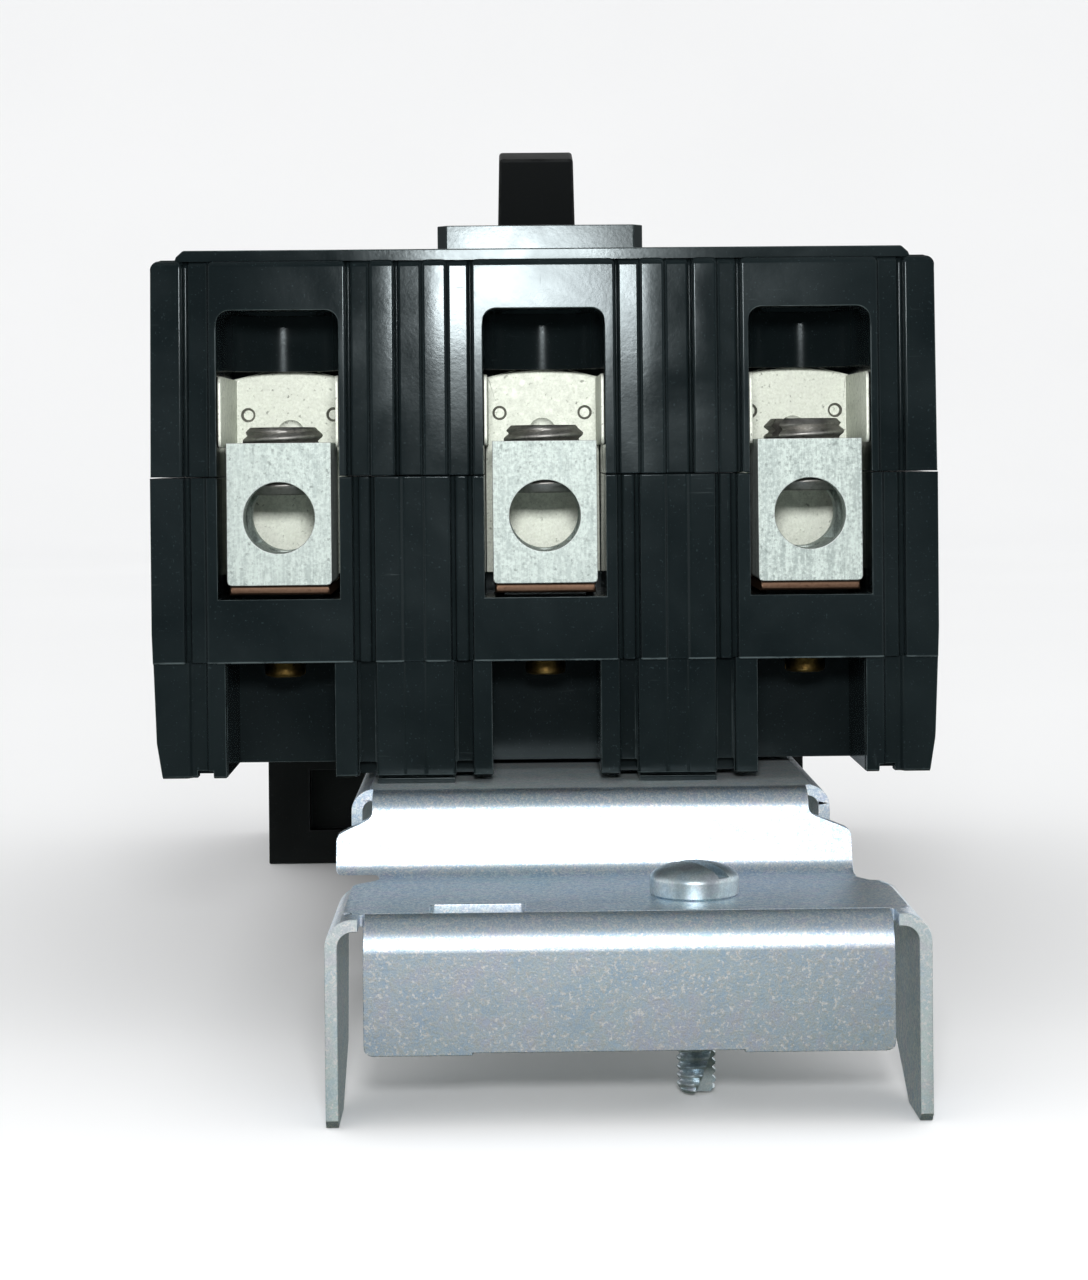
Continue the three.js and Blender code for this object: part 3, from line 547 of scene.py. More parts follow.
def add_floor():
    """One pale sweep: a flat floor that curves up behind the object."""
    front, back, side, top = -1800, 1600, 2600, 2600
    curve = 700
    profile = [(front, 0), (back, 0), *arc((back, curve), curve, -90, 0, 16)[1:], (back + curve, top)]
    bm = bmesh.new()
    rows = [[bm.verts.new((x, y, z - LEG_HEIGHT - 0.05)) for x in (-side, side)] for y, z in profile]
    for a, b in zip(rows, rows[1:]):
        bm.faces.new((a[0], a[1], b[1], b[0]))
    floor = mesh_object("floor", bm)
    for face in floor.data.polygons:
        face.use_smooth = True
    s = Shades("floor")
    tone = s.noise(3, detail=2)
    pale = s.ramp(tone, [(0.3, (0.92, 0.925, 0.93)), (0.7, (0.94, 0.945, 0.95))])
    s.finish({"Base Color": pale, "Roughness": 0.9, "Specular IOR Level": 0.1})
    floor.data.materials.append(MATERIALS["floor"])
    floor.visible_glossy = False


def add_card(name, x, y, z, tone):
    """A card that only reflections see: it keeps black faces black and metal from going flat."""
    card = block(x, y, z, name)
    Shades(name).finish({"Base Color": (*tone, 1), "Roughness": 1, "Specular IOR Level": 0})
    card.data.materials.append(MATERIALS[name])
    card.visible_camera = False
    card.visible_diffuse = False
    card.visible_shadow = False


def add_cards():
    """The dark room behind the camera, its ceiling, and what the object stands on."""
    add_card("card_behind_camera", (-700, 700), (-600, -598), (-300, 560), (0.01, 0.012, 0.013))
    add_card("card_overhead", (-700, 700), (-600, 900), (560, 562), (0.30, 0.31, 0.31))
    add_card("card_under_floor", (-500, 500), (-500, 600), (-62, -60), (0.11, 0.12, 0.10))


def add_world():
    """Even white light from all round."""
    world = bpy.data.worlds.new("studio")
    world.use_nodes = True
    background = world.node_tree.nodes["Background"]
    background.inputs["Color"].default_value = (1, 1, 1, 1)
    background.inputs["Strength"].default_value = 1.0
    scene = bpy.context.scene
    scene.world = world
    scene.view_settings.view_transform = "Standard"
    scene.view_settings.look = "None"


# ------------------------------------------------------------------ materials

MATERIALS = {}                   # by name, which is also the slot of each piece made of it


class Shades:
    """A Principled material and short ways to add noise, ramps, mixes and bump to it."""

    def __init__(self, name):
        MATERIALS[name] = bpy.data.materials.new(name)
        MATERIALS[name].use_nodes = True
        self.tree = MATERIALS[name].node_tree
        self.shader = self.tree.nodes["Principled BSDF"]
        self.coords = self.add("ShaderNodeTexCoord").outputs["Object"]

    def add(self, kind, **settings):
        node = self.tree.nodes.new(kind)
        for key, value in settings.items():
            setattr(node, key, value)
        return node

    def fill(self, node, inputs):
        """Numbers and colors are written on a node's inputs, and outputs are linked to them."""
        for socket, value in inputs.items():
            if isinstance(value, bpy.types.NodeSocket):
                self.tree.links.new(value, node.inputs[socket])
            else:
                node.inputs[socket].default_value = value

    def finish(self, inputs):
        """Fills the inputs of the material's shader."""
        self.fill(self.shader, inputs)

    def stretched(self, scale, turn):
        """The object's own coordinates, turned by degrees and scaled along each axis."""
        node = self.add("ShaderNodeMapping")
        rotation = [math.radians(a) for a in turn]
        self.fill(node, {"Vector": self.coords, "Scale": scale, "Rotation": rotation})
        return node.outputs["Vector"]

    def noise(self, scale, detail=4, roughness=0.55, distortion=0, stretch=(1, 1, 1), turn=(0, 0, 0)):
        """Noise with about scale features in a metre."""
        node = self.add("ShaderNodeTexNoise")
        self.fill(node, {
            "Vector": self.stretched(stretch, turn), "Scale": scale, "Detail": detail,
            "Roughness": roughness, "Distortion": distortion,
        })
        return node.outputs["Fac"]

    def ramp(self, factor, stops):
        """Blends between colors at places from 0 to 1."""
        node = self.add("ShaderNodeValToRGB")
        elements = node.color_ramp.elements
        while len(elements) < len(stops):
            elements.new(0.5)
        for element, (place, color) in zip(elements, stops):
            element.position = place
            element.color = (*color, 1)
        self.fill(node, {"Fac": factor})
        return node.outputs["Color"]

    def mix(self, factor, a, b):
        """From color a to color b as factor goes from 0 to 1."""
        node = self.add("ShaderNodeMix", data_type="RGBA")
        self.fill(node, {0: factor, 6: self.rgba(a), 7: self.rgba(b)})
        return node.outputs[2]

    @staticmethod
    def rgba(value):
        return (*value, 1) if isinstance(value, tuple) else value

    def math(self, operation, a, b):
        node = self.add("ShaderNodeMath", operation=operation)
        self.fill(node, {0: a, 1: b})
        return node.outputs[0]

    def spread(self, value, low, high, to_low=0.0, to_high=1.0):
        """Maps the range from low to high onto another range, and holds it there past its ends."""
        node = self.add("ShaderNodeMapRange")
        self.fill(node, {
            "Value": value, "From Min": low, "From Max": high, "To Min": to_low, "To Max": to_high,
        })
        return node.outputs["Result"]

    def attribute(self, name):
        return self.add("ShaderNodeAttribute", attribute_name=name).outputs["Fac"]

    def bump(self, height, strength, distance, before=None):
        """A normal bent by a height, on top of the bump before it. The distance is in millimetres."""
        node = self.add("ShaderNodeBump")
        self.fill(node, {"Strength": strength, "Distance": distance * MM, "Height": height})
        if before is not None:
            self.fill(node, {"Normal": before})
        return node.outputs["Normal"]


def scratches(shades, scale, stretch, turn, threshold):
    """Sparse thin lines: the crests of a strongly stretched noise, broken up by a broad one."""
    lines = shades.noise(scale, detail=2, roughness=0.5, stretch=stretch, turn=turn)
    sharp = shades.spread(lines, threshold, threshold + 0.05)
    patches = shades.spread(shades.noise(90, detail=2), 0.5, 0.62)
    return shades.math("MULTIPLY", sharp, patches)


def molded_plastic(name, dark, light, edge, roughness, wear=1.0, speckle=0.5, specular=0.5):
    """Molded phenolic: satin, with fine filler specks, faint flow marks and worn edges."""
    s = Shades(name)
    flow = s.noise(55, detail=5, distortion=0.6)
    grain = s.noise(1500, detail=3)
    specks = s.spread(s.noise(3200, detail=1), 0.68, 0.76)
    color = s.mix(s.spread(flow, 0.35, 0.7), dark, light)
    color = s.mix(s.math("MULTIPLY", specks, speckle), color, tuple(3.2 * c for c in light))
    marks = scratches(s, 210, (1, 1, 14), (0, 12, 0), 0.7)
    marks = s.math("MAXIMUM", marks, scratches(s, 150, (11, 1, 1), (0, -7, 9), 0.72))
    color = s.mix(s.math("MULTIPLY", marks, 0.12), color, edge)
    chipped = s.spread(s.noise(420, detail=4), 0.36, 0.6)
    worn = s.math("MULTIPLY", s.attribute("worn"), s.spread(chipped, 0, 1, 0.25, 1.0))
    worn = s.math("MULTIPLY", worn, wear)
    color = s.mix(worn, color, edge)
    rough = s.spread(flow, 0.3, 0.7, roughness - 0.05, roughness + 0.06)
    rough = s.math("ADD", rough, s.math("MULTIPLY", marks, 0.1))
    rough = s.math("ADD", rough, s.math("MULTIPLY", worn, 0.12))
    normal = s.bump(s.noise(38, detail=3), 0.10, 0.25)
    normal = s.bump(grain, 0.22, 0.02, normal)
    normal = s.bump(marks, 0.1, 0.01, normal)
    s.finish({
        "Base Color": color, "Roughness": rough, "Normal": normal, "IOR": 1.5,
        "Specular IOR Level": specular, "Specular Tint": (0.86, 0.97, 1.0, 1),
    })


def cast_metal(name, dark, light, roughness, streak, metallic=1.0, pits=0.35, spread=(0.35, 0.65)):
    """Bare metal with saw or drawing marks along one direction and small pits."""
    depth = 0.02
    s = Shades(name)
    broad = s.noise(70, detail=3)
    lines = s.noise(900, detail=5, roughness=0.7, stretch=streak)
    fine = s.noise(2600, detail=3, roughness=0.7)
    pit = s.spread(s.noise(1300, detail=2), 0.27, 0.36, 1, 0)
    tone = s.math("ADD", s.math("MULTIPLY", lines, 0.6), s.math("MULTIPLY", fine, 0.4))
    color = s.mix(s.spread(tone, *spread), dark, light)
    color = s.mix(s.spread(broad, 0.35, 0.7, 0, 0.35), color, tuple(0.82 * c for c in light))
    color = s.mix(s.math("MULTIPLY", pit, pits), color, tuple(0.35 * c for c in dark))
    bright = tuple(min(1.0, 1.12 * c) for c in light)
    color = s.mix(s.math("MULTIPLY", s.attribute("worn"), 0.5), color, bright)
    rough = s.spread(lines, 0.3, 0.7, roughness - 0.08, roughness + 0.1)
    normal = s.bump(lines, 0.5, depth)
    normal = s.bump(fine, 0.25, depth / 2, normal)
    s.finish({"Base Color": color, "Roughness": rough, "Normal": normal, "Metallic": metallic})


def zinc_plate(name, low, high, roughness, grain=1.0):
    """Bright zinc plating: fine sparkling grain, soft blue and violet patches, and faint hairlines."""
    s = Shades(name)
    fine = s.noise(4200, detail=3, roughness=0.65)
    middle = s.noise(1500, detail=3, roughness=0.6)
    drift = s.noise(420, detail=3, distortion=0.4)
    broad = s.noise(60, detail=2)
    tone = s.math("ADD", s.math("MULTIPLY", fine, 0.6), s.math("MULTIPLY", middle, 0.4))
    color = s.mix(s.spread(tone, 0.46, 0.58), low, high)
    blue, pale, violet = (0.58, 0.78, 1.0), (0.84, 0.95, 1.0), (0.88, 0.82, 1.0)
    patch = s.ramp(drift, [(0.35, blue), (0.5, pale), (0.66, violet)])
    color = s.mix(0.34, color, patch)
    cast = s.ramp(broad, [(0.3, (0.76, 0.95, 0.95)), (0.7, (0.86, 0.88, 1.0))])
    color = s.mix(0.22, color, cast)
    glint = s.spread(s.noise(2600, detail=1), 0.60, 0.67)
    color = s.mix(s.math("MULTIPLY", glint, 0.9 * grain), color, (1.0, 1.0, 1.0))
    hair = scratches(s, 420, (1, 1, 14), (0, 80, 0), 0.66)
    color = s.mix(s.math("MULTIPLY", hair, 0.3), color, (0.9, 0.93, 0.95))
    color = s.mix(s.math("MULTIPLY", s.attribute("worn"), 0.35), color, (0.84, 0.88, 0.86))
    rough = s.spread(tone, 0.42, 0.60, roughness + 0.08 * grain, roughness - 0.05)
    normal = s.bump(tone, 0.9 * grain, 0.02)
    normal = s.bump(s.noise(60, detail=2), 0.2, 0.2, normal)
    s.finish({"Base Color": color, "Roughness": rough, "Normal": normal, "Metallic": 1.0})


def layered_fibre(name, dark, light):
    """Pressed fibre board or dull molding: warm brown with fibres along X."""
    s = Shades(name)
    fibre = s.noise(1100, detail=5, roughness=0.7, stretch=(0.2, 1, 1))
    color = s.mix(s.spread(fibre, 0.35, 0.65), dark, light)
    s.finish({"Base Color": color, "Roughness": 0.75, "Normal": s.bump(fibre, 0.4, 0.03)})


def make_materials():
    molded_plastic(
        "phenolic", (0.0055, 0.0088, 0.0097), (0.0097, 0.0145, 0.0157), (0.066, 0.086, 0.088), 0.14,
        specular=0.15)
    molded_plastic(
        "housing_phenolic", (0.0055, 0.006, 0.0062), (0.009, 0.0098, 0.010), (0.03, 0.034, 0.035), 0.42,
        wear=0.6, specular=0.25)
    molded_plastic(
        "handle_plastic", (0.0016, 0.0018, 0.0018), (0.003, 0.0033, 0.0033), (0.03, 0.031, 0.031), 0.5,
        wear=0.5, speckle=0.3, specular=0.12)
    cast_metal(
        "lug_aluminium", (0.46, 0.53, 0.51), (0.90, 0.99, 0.95), 0.62, (1.6, 1, 0.18),
        spread=(0.42, 0.58))
    cast_metal(
        "barrier_metal", (0.62, 0.66, 0.57), (0.88, 0.92, 0.82), 0.5, (1, 1, 1),
        metallic=0.45, pits=0.8, spread=(0.43, 0.57))
    cast_metal("copper", (0.10, 0.055, 0.035), (0.20, 0.125, 0.085), 0.5, (0.15, 1, 1))
    # Painted shade: this brass is far darker than bare brass, standing in for the shade under the ledge
    # where the terminal screw heads sit.
    cast_metal("brass", (0.15, 0.09, 0.025), (0.32, 0.21, 0.07), 0.34, (1, 1, 1))
    zinc_plate("zinc_sheet", (0.34, 0.47, 0.62), (0.95, 1.0, 1.0), 0.43)
    # Paler zinc for the sheared ends of the bracket, also used as painted light on the bracket's top
    # under the case.
    zinc_plate("zinc_cut_edge_and_painted_light", (0.62, 0.72, 0.68), (0.95, 1.0, 0.97), 0.55)
    zinc_plate("zinc_screw", (0.28, 0.34, 0.36), (0.52, 0.60, 0.62), 0.45, grain=0.3)
    cast_metal("set_screw_steel", (0.34, 0.33, 0.31), (0.62, 0.61, 0.58), 0.48, (1, 1, 0.4))
    cast_metal("mechanism_steel", (0.24, 0.235, 0.22), (0.42, 0.41, 0.39), 0.42, (1, 0.3, 1))
    molded_plastic(
        "button_red", (0.26, 0.018, 0.012), (0.33, 0.028, 0.018), (0.5, 0.12, 0.1), 0.35,
        wear=0.5, speckle=0.1)
    layered_fibre("insulating_fibre", (0.10, 0.055, 0.035), (0.20, 0.12, 0.075))


# ------------------------------------------------------------------ the pieces

# The ribbed load end, from the middle of the breaker outwards: (distance from the middle, depth).
# Poles and ribs are proud, the panels between them are sunk, and narrow grooves run beside some.
COVER_RELIEF = [
    (9.5, 0), (9.55, 1.4), (9.95, 1.4), (10.0, 0.8), (12.7, 0.8), (12.95, 0),
    (16.05, 0), (16.3, 0.8), (19.3, 0.8), (19.35, 1.4), (19.75, 1.4), (19.9, 0),
    (23.05, 0), (23.3, 0.8), (25.7, 0.8), (25.75, 1.4), (26.2, 1.4), (26.35, 0),
    (44.5, 0), (44.75, 0.8), (47.3, 0.8), (47.35, 1.5), (47.95, 1.5), (48.1, 0), (52.3, 0),
]
BASE_RELIEF = [
    (9.6, 0), (9.7, 1.6), (10.2, 1.6), (10.35, 1.0), (11.9, 1.0), (12.0, 1.6), (12.5, 1.6), (12.65, 0),
    (16.0, 0), (16.2, 0.4), (18.8, 0.4), (19.3, 0), (22.65, 0), (22.75, 1.6), (23.2, 1.6), (23.3, 1.0),
    (24.75, 1.0), (24.85, 1.6), (25.5, 1.6), (25.65, 0),
    (44.9, 0), (45.2, 0.7), (47.1, 0.7), (47.2, 1.4), (47.8, 1.4), (48.0, 0), (52.35, 0),
]
FEET_RELIEF = [
    (9.8, 0), (9.85, 2.2), (12.15, 2.2), (12.25, 0), (16.05, 0), (16.2, 0.2), (18.8, 0.2), (18.95, 0),
    (22.6, 0), (22.75, 2.2), (25.05, 2.2), (25.2, 0), (45.0, 0), (45.3, 0.8), (47.2, 0.8), (47.6, 0),
    (52.35, 0),
]
SLAB_BACK = 4.8
REMADE_DEPTH = 2.6               # this much of the CAD's load end gives way to the slabs
PAST_SLAB = (-3, 8)              # clear of a slab in front and behind
BEHIND_SLAB = 5.6


def relief_slab(relief, rows, name):
    """The front few millimetres of the case: the relief carried up through rows of
    (height, how far it stands back, how much narrower its proud parts are)."""
    bm = bmesh.new()
    rings = []
    for z, back, narrower in rows:
        half = []
        for i, (x, depth) in enumerate(relief):
            if depth == 0 and x < relief[-1][0]:
                proud_before = i == 0 or relief[i - 1][1] == 0
                x += -narrower if proud_before else narrower
            half.append((x, depth))
        path = [(-x, d) for x, d in reversed(half)] + half
        front = [(x, d + back) for x, d in softened(path)]
        edge = relief[-1][0]
        ring = [(-edge, SLAB_BACK), *front, (edge, SLAB_BACK)]
        rings.append([bm.verts.new((x, y, z)) for x, y in ring])
    skin(bm, rings)
    return mesh_object(name, bm)


COVER_LEAN = 1.25                # degrees
BASE_LEAN = 0.7


def leaning(rows, degrees):
    """The rows of a slab, leaning back from the seam."""
    slope = math.tan(math.radians(degrees))
    return [(z, back + abs(z - SEAM) * slope, narrower) for z, back, narrower in rows]


def cover_rows():
    """Up from the seam to round tops under the lip."""
    top_radius = 0.95
    steps = 6
    start = RIB_TOP - top_radius
    rows = [(SEAM + 0.15, 0.12, 0.0), (SEAM + 0.3, 0.0, 0.0)]
    for i in range(steps + 1):
        turn = math.radians(90 * i / steps)
        round_back = top_radius * (1 - math.cos(turn))
        rows.append((start + top_radius * math.sin(turn), round_back, round_back * 0.75))
    return leaning(rows, COVER_LEAN)


def pocket_mouth(pole, floor):
    """The opening over a lug, with round upper corners."""
    half = POCKET_HALF_WIDTH + POCKET_PLAY
    top = POCKET_TOP + POCKET_PLAY
    corner = 1.8
    return [
        (pole + half, floor),
        *arc((pole + half - corner, top - corner), corner, 0, 90),
        *arc((pole - half + corner, top - corner), corner, 90, 180),
        (pole - half, floor),
    ]


def cover_side_outline():
    """The cover seen from the load end, a hair inside the frame's own sides."""
    right = [
        (BODY_HALF_WIDTH - 0.12, SEAM - 1),
        *arc((BODY_HALF_WIDTH - 1.62, 67.58), 1.4, 0, 90),
        (LIP_HALF_WIDTH, 68.98),
        (LIP_HALF_WIDTH, 72),
    ]
    return mirrored(right)


def build_cover():
    """The CAD cover with its load end cut off and made again with ribs, grooves and pockets."""
    obj = copy_of("cover", "cover_shell")
    combine(obj, [
        block(ACROSS, (-2, REMADE_DEPTH), (SEAM - 1, RIB_TOP - 0.1)),
        block(ACROSS, (-2, 1.5), (RIB_TOP - 0.2, 80)),
    ])
    slab = relief_slab(COVER_RELIEF, cover_rows(), "slab")
    combine(slab, [prism(cover_side_outline(), "Y", PAST_SLAB)], "INTERSECT")
    combine(obj, [slab], "UNION")
    cuts = []
    for pole in POLES:
        cuts.append(prism(pocket_mouth(pole, SEAM - 2), "Y", (-3, WELL_Y)))
        depth = (WELL_BOTTOM, POCKET_TOP + POCKET_PLAY)
        cuts.append(hole((pole, WELL_Y), POCKET_HALF_WIDTH + POCKET_PLAY, depth, 96))
    combine(obj, cuts)
    clean(obj, 0.4)

    def where(p):
        if p.z < SEAM + 0.6 or (p.y < 5 and 66 < p.z < 69.4):
            return 0.0
        if p.z > 69.5 or abs(p.x) > 51.5 or p.y > LINE_END:
            return 0.5
        return 0.45 if p.y < 2.2 else 0.0

    round_edges(obj, 0.28, 2, 40, where)
    keep_narrow(obj, BODY_HALF_WIDTH - HAIR)
    finish_piece(obj, "cover", "phenolic")


def base_rows():
    """From the ledge, whose lower edge is worn round, up to the seam."""
    rows = [
        (LEDGE_BOTTOM + HAIR, 0.3, 0.15),
        (LEDGE_BOTTOM + 0.1, 0.1, 0.05),
        (LEDGE_BOTTOM + 0.32, 0.0, 0.0),
        (SEAM - 0.2, 0.0, 0.0),
        (SEAM, 0.12, 0.0),
    ]
    return leaning(rows, BASE_LEAN)


def feet_rows():
    """From the ends of the feet, tapered for their last few millimetres, up to the ledge."""
    rows = [(0.0, 1.15, 0.2), (0.25, 0.85, 0.0), (4.4, 0.55, 0.0), (LEDGE_BOTTOM + 0.2, 0.5, 0.0)]
    return leaning(rows, BASE_LEAN)


def base_side_outline():
    """The base seen from the load end, a hair inside the frame's own sides."""
    return mirrored([(51.18, -1), (51.18, 0), (51.88, 4.8), (52.38, 20.3), (52.38, 41)])


def wear_ledge(obj):
    """Marks the lower front edge of the case, over the feet, as worn pale."""
    worn = obj.data.attributes["worn"]
    proud_front = 0.72
    heavy_wear = 2.0
    for vert in obj.data.vertices:
        p = (vert.co - ORIGIN) / MM
        if p.y < proud_front and LEDGE_BOTTOM - 0.05 < p.z < LEDGE_BOTTOM + 0.2:
            worn.data[vert.index].value = heavy_wear


def build_base():
    """The CAD base with its load end cut off and made again with ribs, grooves and feet."""
    obj = copy_of("base", "base_shell")
    combine(obj, [
        block(ACROSS, (-2, REMADE_DEPTH), (-0.2, SEAM + 1)),
        block(ACROSS, (-2, 1.2), (-3, 0)),
    ])
    for relief, rows in ((BASE_RELIEF, base_rows()), (FEET_RELIEF, feet_rows())):
        slab = relief_slab(relief, rows, "slab")
        combine(slab, [prism(base_side_outline(), "Y", PAST_SLAB)], "INTERSECT")
        if relief is FEET_RELIEF:
            half = RECESS_HALF_WIDTH
            combine(slab, [block((pole - half, pole + half), PAST_SLAB, (-2, 17)) for pole in POLES])
        combine(obj, [slab], "UNION")
    cuts = []
    for pole in POLES:
        half = POCKET_HALF_WIDTH + 0.02
        cuts.append(block((pole - half, pole + half), (-3, BEHIND_SLAB), (POCKET_FLOOR, SEAM + 2)))
    for side in (-1, 1):
        for notch in FOOT_NOTCHES:
            cuts.append(block(sorted(side * x for x in notch), (1.5, BEHIND_SLAB), (-2, 1.8)))
        cuts.append(block(sorted(side * x for x in CORNER_NOTCH), (-1, 7), (-2, 1.0)))
    combine(obj, cuts)
    clean(obj, 0.4)

    def where(p):
        if p.z > SEAM - 0.6 or (p.y < 5 and 15 < p.z < 15.7):
            return 0.0
        if p.y < 5.2:
            return 0.4
        outside = p.z < 0.5 or abs(p.x) > 50.5 or p.y > LINE_END
        return 0.6 if p.y > 8 and outside else 0.0

    round_edges(obj, 0.22, 2, 40, where)
    wear_ledge(obj)
    keep_narrow(obj, BODY_HALF_WIDTH - HAIR)
    finish_piece(obj, "base", "phenolic")


# ------------------------------------------------------------------ terminals

def build_lug(i):
    """A sawn aluminium block with its wire bore, and its lower corners rounded."""
    pole = POLES[i - 1]
    low, high = LUG_Z
    outline = [
        *arc((pole - LUG_HALF_WIDTH + LUG_CORNER, low + LUG_CORNER), LUG_CORNER, 180, 270, 3),
        *arc((pole + LUG_HALF_WIDTH - LUG_CORNER, low + LUG_CORNER), LUG_CORNER, 270, 360, 3),
        (pole + LUG_HALF_WIDTH, high),
        (pole - LUG_HALF_WIDTH, high),
    ]
    obj = prism(outline, "Y", LUG_Y, f"lug_body_{i}")
    combine(obj, [
        hole((pole, LUG_BORE_Z), LUG_BORE_RADIUS, (LUG_Y[0] - 1, LUG_Y[1] + 1), 96, "Y"),
        hole((pole, LUG_SCREW_Y), LUG_SCREW_RADIUS + 0.3, (31, high + 1), 96),
        hole((pole, TERMINAL_SCREW_Y), 2.2, (low - 1, low + 5)),
    ])
    clean(obj)

    def where(p):
        on_end = p.y < LUG_Y[0] + 0.2 or p.y > LUG_Y[1] - 0.2
        return 1.0 if on_end or abs(p.x - pole) > 6.7 or p.z > high - 0.2 else 0.0

    round_edges(obj, 0.13, 2, 46, where)
    finish_piece(obj, f"lug_{i}", "lug_aluminium")


def build_lug_screw(i):
    """A threaded set screw with a driver slot, standing a little proud of its lug."""
    node = f"lug_screw_{i}"
    pole = POLES[i - 1]
    top = node_top(node)
    centre = (pole, LUG_SCREW_Y)
    radius, depth, pitch = LUG_SCREW_RADIUS - 0.05, 0.75, 1.6
    obj = threaded(f"set_screw_{i}", centre, (LUG_SCREW_TIP, top), radius, depth, pitch, (4.3, 4.45))
    slot = turned_block((13, 1.4, 4.8), (pole, LUG_SCREW_Y, top), SLOT_TURNS[i - 1])
    combine(obj, [slot])
    finish_piece(obj, node, "set_screw_steel", 50)


def build_terminal_screw(i):
    """A brass cheese-head screw with a slot, seen from under the ledge."""
    pole = POLES[i - 1]
    bottom, seat, top = TERMINAL_HEAD_BOTTOM, LEDGE_BOTTOM - 0.05, TERMINAL_SCREW_TOP
    profile = [
        (0, bottom), (2.1, bottom), (2.45, bottom + 0.1), (2.65, bottom + 0.3), (2.72, bottom + 0.55),
        (2.72, seat), (1.9, seat), (1.9, top - 0.2), (1.7, top), (0, top),
    ]
    obj = lathe(f"brass_screw_{i}", profile, (pole, TERMINAL_SCREW_Y))
    slot = (TERMINAL_SCREW_Y - 0.5, TERMINAL_SCREW_Y + 0.5)
    combine(obj, [block((pole - 4, pole + 4), slot, (11, 13.9))])
    clean(obj)
    # The darkened brass stands in as painted shade under the ledge.
    finish_piece(obj, f"terminal_screw_{i}", "brass")


def build_load_strap(i):
    """A copper strap under the lug, its front corners filed round, bent up inside the case."""
    pole = POLES[i - 1]
    level = LUG_Z[0] - STRAP_THICKNESS / 2
    side = folded_strip([(1.6, level), (30, level), (30, 34)], STRAP_THICKNESS - 0.02, 1.5)
    obj = prism(side, "X", (pole - 6.7, pole + 6.7), f"copper_strap_{i}")
    combine(obj, [hole((pole, TERMINAL_SCREW_Y), 2.3, (20, 28))])
    clean(obj)
    round_edges(obj, 0.35, 3, 40, lambda p: 1.0 if p.y < 4 and p.z < 26 else 0.0)
    finish_piece(obj, f"load_strap_{i}", "copper")


def facing_rings(bm, place, profile, steps):
    """Rings about a Y axis through place, from (radius, y) points."""
    rings = []
    for radius, y in profile:
        ring = circle((0, 0), radius, steps)
        rings.append([bm.verts.new((place[0] + u, place[1] + y, place[2] + v)) for u, v in ring])
    return rings


def dimple(place):
    """A cutter for a small pressed dimple with sloping walls and a flat bottom."""
    bm = bmesh.new()
    profile = [(1.2, -0.4), (DIMPLE_RADIUS, 0.0), (0.74, 0.55), (0.68, 0.62)]
    skin(bm, facing_rings(bm, place, profile, 32))
    return mesh_object("dimple", bm)


def rivet_head(place, radius, height):
    """A low dome that faces the load end."""
    rim = -0.1
    turns = [math.pi / 2 * k / 8 for k in range(1, 8)]
    dome = [(radius * math.cos(t), rim - height * math.sin(t)) for t in turns]
    bm = bmesh.new()
    skin(bm, facing_rings(bm, place, [(radius, 0.3), (radius, rim), *dome], 40))
    return mesh_object("rivet", bm)


def build_barrier_plate(i):
    """The arched plate behind a lug, with side wings, pressed dimples and a rivet, and painted shade on
    the dimple walls.
    """
    pole = POLES[i - 1]
    half = POCKET_HALF_WIDTH - 0.1
    back = [
        (pole - half, PLATE_BOTTOM),
        (pole + half, PLATE_BOTTOM),
        (pole + half, PLATE_SHOULDER),
        *arc((pole, 24.6), 30, 74, 106, 24),
        (pole - half, PLATE_SHOULDER),
    ]
    obj = prism(back, "Y", PLATE_Y, f"plate_{i}")
    wing = rounded([(1.0, 44), (21.8, 44), (21.8, PLATE_SHOULDER), (1.0, PLATE_SHOULDER)], 1.2)
    wing_thickness = 0.4
    for side in (-1, 1):
        span = sorted((pole + side * half, pole + side * (half - wing_thickness)))
        combine(obj, [prism(wing, "X", span)], "UNION")
    combine(obj, [dimple((pole + side * DIMPLE_X, PLATE_Y[0], DIMPLE_Z)) for side in (-1, 1)])
    combine(obj, [rivet_head((pole, PLATE_Y[0], RIVET_Z), 1.9, 0.45)], "UNION")
    clean(obj)
    round_edges(obj, 0.1, 2, 40, lambda p: 0.0 if p.z < 50 and abs(p.x - pole) < 7.5 else 1.0)
    finish_piece(obj, f"barrier_plate_{i}", "barrier_metal", 30)
    # Painted shade: the sloping walls of each dimple take the dark mechanism steel, which darkens their
    # rims the way shade would.
    obj.data.materials.append(MATERIALS["mechanism_steel"])
    for face in obj.data.polygons:
        middle = (face.center - ORIGIN) / MM
        from_dimple = math.hypot(abs(middle.x - pole) - DIMPLE_X, middle.z - DIMPLE_Z)
        if from_dimple < DIMPLE_RADIUS + 0.08 and abs(face.normal.y) < 0.9:
            face.material_index = 1


# ------------------------------------------------------------------ mounting bracket and its screw

def upper_flange_outline():
    """The upper front flange seen from the load end: narrow at its top bend, wider at its wings."""
    low = LEDGE_TOP + 0.3
    return [
        (-21.7, LEDGE_TOP - 3), (-21.7, low), (-27.5, low), (-27.5, -6.2), (-22.9, -4.1), (-22.9, 1),
        (33.8, 1), (33.8, -4.1), (39.2, -6.2), (39.2, LEDGE_TOP - 3),
    ]


def ledge_outline():
    """The ledge in plan, as wide as the legs in front and as the upper flange behind."""
    return [
        (-21.7, -9), (-21.7, -12.6), (-25, -15.6), (-25, -36),
        (42.5, -36), (42.5, -20), (38.6, -13), (38, -9),
    ]


